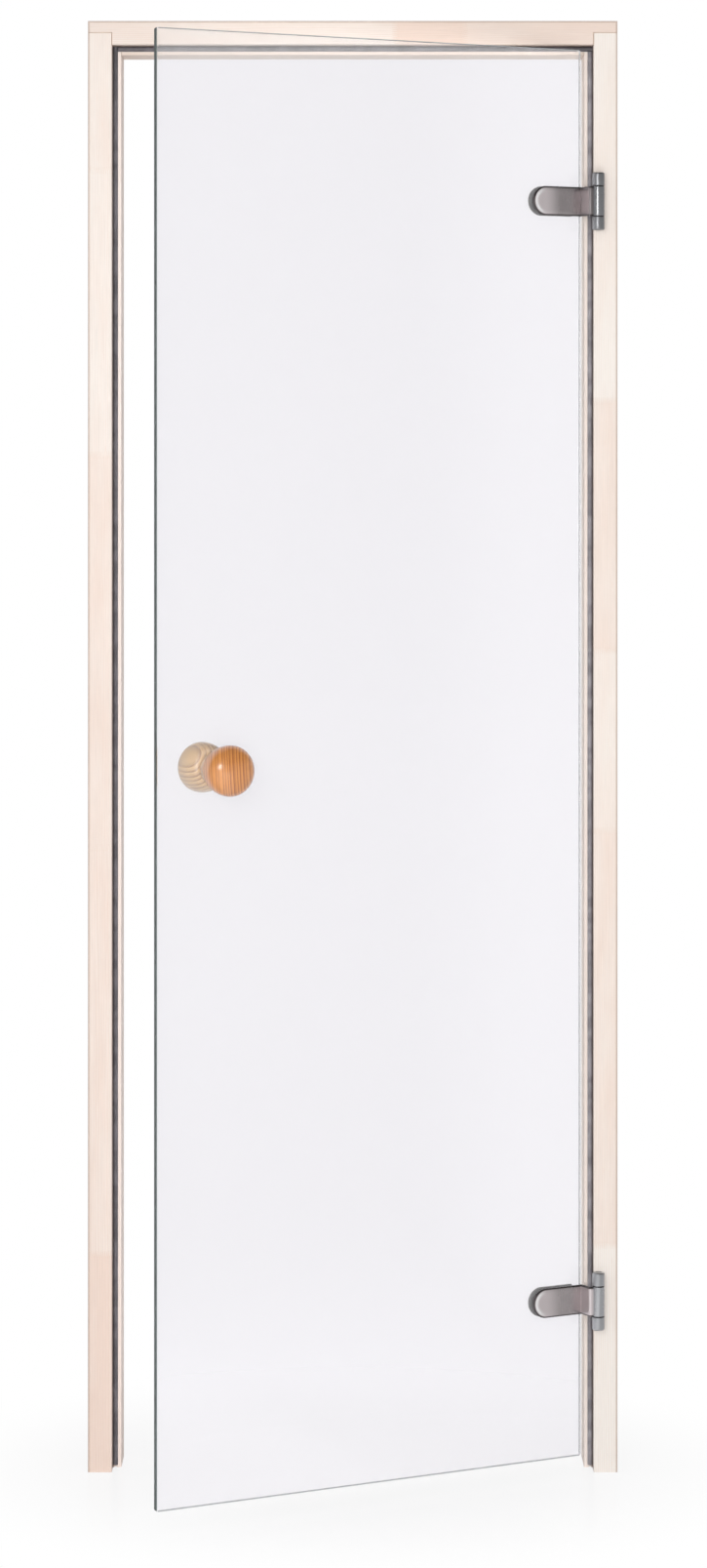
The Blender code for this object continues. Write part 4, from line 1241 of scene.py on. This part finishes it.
class DOOR_OT_hinge_barrels(bpy.types.Operator):
    """Make the frame's half of both hinges: plates, knuckles, pins, washers and screws"""

    bl_idname = "sauna_door.hinge_barrels"
    bl_label = "Hinge barrels"

    def execute(self, context):
        look = settings().hinge
        rubber = rubber_material("washer rubber", look.black, 0.5, (1.0, 1.0, 1.0))
        for name in HINGES:
            # Each hinge's barrel steel is toned by its own painted light and shade.
            steel = steel_material(f"satin steel {name} barrel",
                                   toned(look.steel, BARREL_PAINTED_TONES[name]),
                                   look.barrel_roughness, (1.0, 1.0, 0.04))
            low, high = node_box(f"{name}_hinge_jamb_plate")
            middle = (low[2] + high[2]) / 2
            plate = jamb_plate_mesh(low, high, AXIS)
            add_piece(f"{name}_barrel_and_plate", moved(plate, *AXIS, middle), steel, "frame",
                      "satin_steel", f"{name}_hinge_jamb_plate")
            pin = leaf_pin_radius()
            end = (high[2] - low[2]) / 2 - TOUCH
            dome = np.linspace(0, math.pi / 2, 7)
            cap = np.column_stack([pin * np.sin(dome), end - PIN_DOME * (1 - np.cos(dome))])
            profile = np.concatenate([cap, cap[::-1] * (1, -1)])
            add_piece(f"{name}_domed_pin", moved(revolved(profile, 48), *AXIS, middle), steel,
                      "frame", "satin_steel", f"{name}_hinge_pin")
            for number in (1, 2):
                node = f"{name}_hinge_washer_{number}"
                wash_low, wash_high = node_box(node)
                mesh = washer_mesh(pin + TOUCH, (wash_high[0] - wash_low[0]) / 2,
                                   wash_high[2] - wash_low[2], WASHER_EDGE)
                add_piece(f"{name}_washer_ring_{number}", moved(mesh, *AXIS, wash_low[2]),
                          rubber, "frame", "black_rubber", node)
            for number in (1, 2, 3):
                node = f"{name}_hinge_jamb_screw_{number}"
                screw_low, screw_high = node_box(node)
                mesh = screw_mesh((screw_high[2] - screw_low[2]) / 2,
                                  screw_high[0] - screw_low[0], "lobed", "X", 1,
                                  **JAMB_SCREW)
                place = (screw_low + screw_high) / 2
                add_piece(f"{name}_jamb_screw_{number}",
                          moved(mesh, screw_low[0], place[1], place[2]), steel, "frame",
                          "satin_steel", node)
        return {"FINISHED"}


class DOOR_OT_hinge_clamps(bpy.types.Operator):
    """Make the leaf's half of both hinges: clamp plates, back plates, pads and screws"""

    bl_idname = "sauna_door.hinge_clamps"
    bl_label = "Hinge clamps"

    def execute(self, context):
        look = settings().hinge
        steel = clamp_material("satin steel clamp", look.clamp, look.steel,
                               look.clamp_roughness)
        rubber = rubber_material("pad rubber", look.black, 0.5, (1.0, 1.0, 1.0))
        for name in HINGES:
            add_piece(f"{name}_cranked_clamp", clamp_plate_mesh(name), steel, "leaf",
                      "satin_steel", f"{name}_hinge_clamp_plate")
            add_piece(f"{name}_rear_clamp", back_plate_mesh(name), steel, "leaf",
                      "satin_steel", f"{name}_hinge_back_plate")
            for side in ("front", "back"):
                node = f"{name}_hinge_{side}_gasket"
                add_piece(f"{name}_{side}_pad", pad_mesh(node), rubber, "leaf",
                          "black_rubber", node)
            for number in (1, 2):
                node = f"{name}_hinge_clamp_screw_{number}"
                low, high = leaf_box(node)
                mesh = screw_mesh((high[0] - low[0]) / 2, high[1] - low[1], "flat", "Y", -1,
                                  **CLAMP_SCREW)
                mesh = moved(mesh, (low[0] + high[0]) / 2, high[1], (low[2] + high[2]) / 2)
                add_piece(f"{name}_clamp_screw_{number}", in_leaf(mesh), steel, "leaf",
                          "satin_steel", node)
        return {"FINISHED"}


# Glass

class DOOR_OT_glass(bpy.types.Operator):
    """Finish the pane as clear glass with ground edges"""

    bl_idname = "sauna_door.glass"
    bl_label = "Glass"

    def execute(self, context):
        dress(glass_material(), "glass_leaf")
        return {"FINISHED"}


# Knobs

def knob_profile(look, radius, height, bore, depth):
    """Radius and height of a knob: a bored foot, a neck that swells, and a domed crown.

    The swell is a quarter of an ellipse from the neck out to the widest height, and the
    crown a quarter of an ellipse from there in to the axis.
    """
    swell = np.linspace(math.pi / 2, 0, 25)
    crown = np.linspace(0, math.pi / 2, 33)[1:]
    neck = look.neck_radius
    belly = np.column_stack([neck + (radius - neck) * np.cos(swell),
                             look.widest - (look.widest - look.neck_height) * np.sin(swell)])
    dome = np.column_stack([radius * np.cos(crown),
                            look.widest + (height - look.widest) * np.sin(crown)])
    dome[-1, 0] = 0.0
    foot = np.array([(0, depth), (bore, depth), (bore, 0), (look.foot_radius - 0.0004, 0),
                     (look.foot_radius, 0.0004), (look.foot_radius, look.foot_height - 0.0006),
                     (look.foot_radius - 0.0006, look.foot_height)])
    return np.concatenate([foot, belly, dome])


class DOOR_OT_knobs(bpy.types.Operator):
    """Turn the knob on each side of the glass, with its washer and the bolt through both"""

    bl_idname = "sauna_door.knobs"
    bl_label = "Knobs"

    def execute(self, context):
        look, hinge = settings().knob, settings().hinge
        woods = {"front": knob_material("front", look.early, look.late),
                 "back": knob_material("back", look.pale, look.figure)}
        rubber = rubber_material("knob washer rubber", look.washer, 0.5, (1.0, 1.0, 1.0))
        steel = steel_material("bolt steel", hinge.steel, 0.3, (1.0, 0.04, 1.0))
        bolt_low, bolt_high = leaf_box("knob_bolt")
        bolt = (bolt_high[2] - bolt_low[2]) / 2
        x, z = (bolt_low[0] + bolt_high[0]) / 2, (bolt_low[2] + bolt_high[2]) / 2
        for side, way in (("front", -1), ("back", 1)):
            low, high = leaf_box(f"knob_{side}")
            foot = low[1] if way > 0 else high[1]
            depth = abs((bolt_high[1] if way > 0 else bolt_low[1]) - foot) + TOUCH
            profile = knob_profile(look, (high[0] - low[0]) / 2, high[1] - low[1],
                                   bolt + TOUCH, depth) * (1, way)
            mesh = moved(revolved(profile, 128, "Y"), x, foot, z)
            add_piece(f"turned_knob_{side}", in_leaf(mesh), woods[side], "leaf", "knob_wood",
                      f"knob_{side}")
            low, high = leaf_box(f"knob_washer_{side}")
            ring = washer_mesh(bolt + TOUCH, (high[0] - low[0]) / 2, high[1] - low[1],
                               KNOB_WASHER_EDGE, "Y")
            mesh = moved(ring, x, low[1], z)
            add_piece(f"knob_ring_{side}", in_leaf(mesh), rubber, "leaf", "black_rubber",
                      f"knob_washer_{side}")
        end = 0.0005
        profile = [(0, bolt_low[1]), (bolt - end, bolt_low[1]), (bolt, bolt_low[1] + end),
                   (bolt, bolt_high[1] - end), (bolt - end, bolt_high[1]), (0, bolt_high[1])]
        add_piece("through_bolt", in_leaf(moved(revolved(profile, 48, "Y"), x, 0.0, z)), steel,
                  "leaf", "satin_steel", "knob_bolt")
        return {"FINISHED"}


# Studio

def seen_rays(b):
    """Masks of the rays that show the backdrop and of those that mirror it, and how white it
    is for the first: plain white from the camera, a little less through the glass."""
    path = b.add("ShaderNodeLightPath").outputs
    shown = b.math("MAXIMUM", path["Is Camera Ray"], path["Is Transmission Ray"])
    through = b.math("MULTIPLY", path["Is Transmission Ray"], THROUGH_GLASS)
    white = b.math("MAXIMUM", path["Is Camera Ray"], through)
    others = b.math("SUBTRACT", 1.0, shown)
    return shown, white, others, b.math("MULTIPLY", others, path["Is Glossy Ray"])


def white_tint(b):
    """Plain white, and the faint lilac that the backdrop has behind the pane."""
    path = b.add("ShaderNodeLightPath").outputs
    return b.mix(path["Is Transmission Ray"], (1.0, 1.0, 1.0), LILAC)


def make_world(look):
    """White where it is seen, an even fill for the rest, and in metal a white backdrop in a
    darker room over a lighter floor."""
    world = bpy.data.worlds.new("studio")
    world.use_nodes = True
    bpy.context.scene.world = world
    b = Tree(world.node_tree)
    _, white, others, glossy = seen_rays(b)
    way = b.split(b.add("ShaderNodeTexCoord").outputs["Generated"])
    ground, ceiling = (-0.16, 0.03), (0.16, 0.50)
    room = b.ramp(way[2], *ceiling, b.ramp(way[2], *ground, look.low_room, look.room),
                  look.high_room)
    mirrored = b.math("MULTIPLY", glossy, b.ramp(way[1], *BACKDROP_EDGES, room, 1.0))
    ahead = b.math("POWER", b.math("MAXIMUM", b.math("MULTIPLY", way[1], -1.0), 0.0), 2.0)
    spread = b.math("ADD", look.fill, b.math("MULTIPLY", ahead, look.front))
    matt = b.math("MULTIPLY", b.math("SUBTRACT", others, glossy), spread)
    background = world.node_tree.nodes["Background"].inputs
    b.put(background["Color"], white_tint(b))
    b.put(background["Strength"], b.math("ADD", white, b.math("ADD", mirrored, matt)))


def floor_material(look, centre):
    """Pale floor that keeps the door's shadow and a faint mirror image near its foot, and
    fades to the white of the backdrop."""
    material, b, shader, place = new_material("pale floor", roughness=0.16,
                                              specular_ior_level=0.25)
    shader["Base Color"].default_value = (*look.floor, 1.0)
    shown, white, _, glossy = seen_rays(b)
    off = b.vector("SUBTRACT", place, (centre[0], centre[1], 0.0))
    far = b.add("ShaderNodeVectorMath", {0: off}, operation="LENGTH").outputs["Value"]
    shadow_reach, front_sector = (0.20, 0.60), (-0.95, -0.62)
    plain = b.ramp(far, *shadow_reach, 0.78, 1.0)
    behind = b.math("DIVIDE", b.split(off)[1], far)
    ahead = b.ramp(behind, *front_sector, 1.0, 0.0)
    mirrored = b.math("MAXIMUM", ahead, b.ramp(behind, *BACKDROP_EDGES, look.low_room, 1.0))
    light = b.add("ShaderNodeEmission",
                  {"Color": white_tint(b),
                   "Strength": b.math("ADD", white, b.math("MULTIPLY", glossy, mirrored))})
    glow = b.math("MULTIPLY", b.math("ADD", shown, glossy), plain)
    mix_shader(material, b, glow, light)
    return material


def add_lamp(name, place, target, size, power):
    """A soft box that faces the target."""
    lamp = bpy.data.lights.new(name, "AREA")
    lamp.shape = "RECTANGLE"
    (lamp.size, lamp.size_y), lamp.energy = size, power
    thing = bpy.data.objects.new(name, lamp)
    bpy.context.scene.collection.objects.link(thing)
    thing.location = place
    way = np.array(target) - np.array(place)
    across = math.hypot(way[0], way[1])
    thing.rotation_euler = (math.atan2(across, -way[2]), 0.0, math.atan2(-way[0], way[1]))
    return thing


class DOOR_OT_studio(bpy.types.Operator):
    """Set the camera, the pale floor, the white backdrop and the soft lamps"""

    bl_idname = "sauna_door.studio"
    bl_label = "Studio"

    def execute(self, context):
        look = settings().studio
        scene = context.scene
        low, high = np.array(FRAME_BOUNDS)
        middle = (low + high) / 2
        make_world(look)
        corners = np.array([(-1, -1), (1, -1), (1, 1), (-1, 1)]) * FLOOR_REACH
        corners = np.column_stack([corners + middle[:2], np.zeros(4)])
        mesh = bpy.data.meshes.new("floor")
        mesh.from_pydata(corners.tolist(), [], [(0, 1, 2, 3)])
        mesh.materials.append(floor_material(look, middle))
        floor = bpy.data.objects.new("floor", mesh)
        scene.collection.objects.link(floor)
        stand = middle[1] - look.distance
        aim = (middle[0], middle[1], AIM_HEIGHT)
        low_aim = (middle[0], middle[1], LOW_AIM_HEIGHT)
        key = add_lamp("key", KEY_PLACE, aim, KEY_SIZE, look.key)
        low_lamp = add_lamp("low", LOW_PLACE, low_aim, LOW_SIZE, look.low)
        face = add_lamp("face", (middle[0], stand, FACE_HEIGHT), aim, FACE_SIZE, look.face)
        for lamp in (low_lamp, face):
            lamp.visible_glossy = False
        # Otherwise the pane shows these two as white squares from behind.
        for lamp in (key, low_lamp):
            lamp.visible_transmission = False
        camera = bpy.data.objects.new("camera", bpy.data.cameras.new("camera"))
        camera.data.lens, camera.data.sensor_width = LENS, SENSOR_WIDTH
        camera.data.shift_x, camera.data.shift_y = LENS_SHIFT
        camera.location = (middle[0], stand, look.eye)
        camera.rotation_euler = (math.pi / 2, 0.0, 0.0)
        scene.collection.objects.link(camera)
        scene.camera = camera
        scene.view_settings.view_transform = "Standard"
        return {"FINISHED"}


class DOOR_PT_panel(bpy.types.Panel):
    """Lists the steps that dress the door"""

    bl_label = "Sauna door"
    bl_idname = "DOOR_PT_panel"
    bl_space_type = "VIEW_3D"
    bl_region_type = "UI"
    bl_category = "Sauna door"

    def draw(self, context):
        for step in STEPS:
            self.layout.operator(step.bl_idname)


STEPS = (DOOR_OT_timber, DOOR_OT_seals, DOOR_OT_hinge_barrels, DOOR_OT_hinge_clamps,
         DOOR_OT_glass, DOOR_OT_knobs, DOOR_OT_studio)
CLASSES = (TimberSettings, SealSettings, HingeSettings, KnobSettings, GlassSettings,
           StudioSettings, DoorSettings, *STEPS, DOOR_PT_panel)


def register():
    """Adds the settings, the steps and the panel."""
    for thing in CLASSES:
        bpy.utils.register_class(thing)
    bpy.types.Scene.sauna_door = PointerProperty(type=DoorSettings)


def unregister():
    """Takes them out again."""
    del bpy.types.Scene.sauna_door
    for thing in reversed(CLASSES):
        bpy.utils.unregister_class(thing)


def main():
    """Runs all steps in order and writes the sizes."""
    register()
    for step in STEPS:
        family, name = step.bl_idname.split(".")
        if getattr(getattr(bpy.ops, family), name)() != {"FINISHED"}:
            raise RuntimeError(f"{step.bl_label} was not finished")


if __name__ == "__main__":
    main()
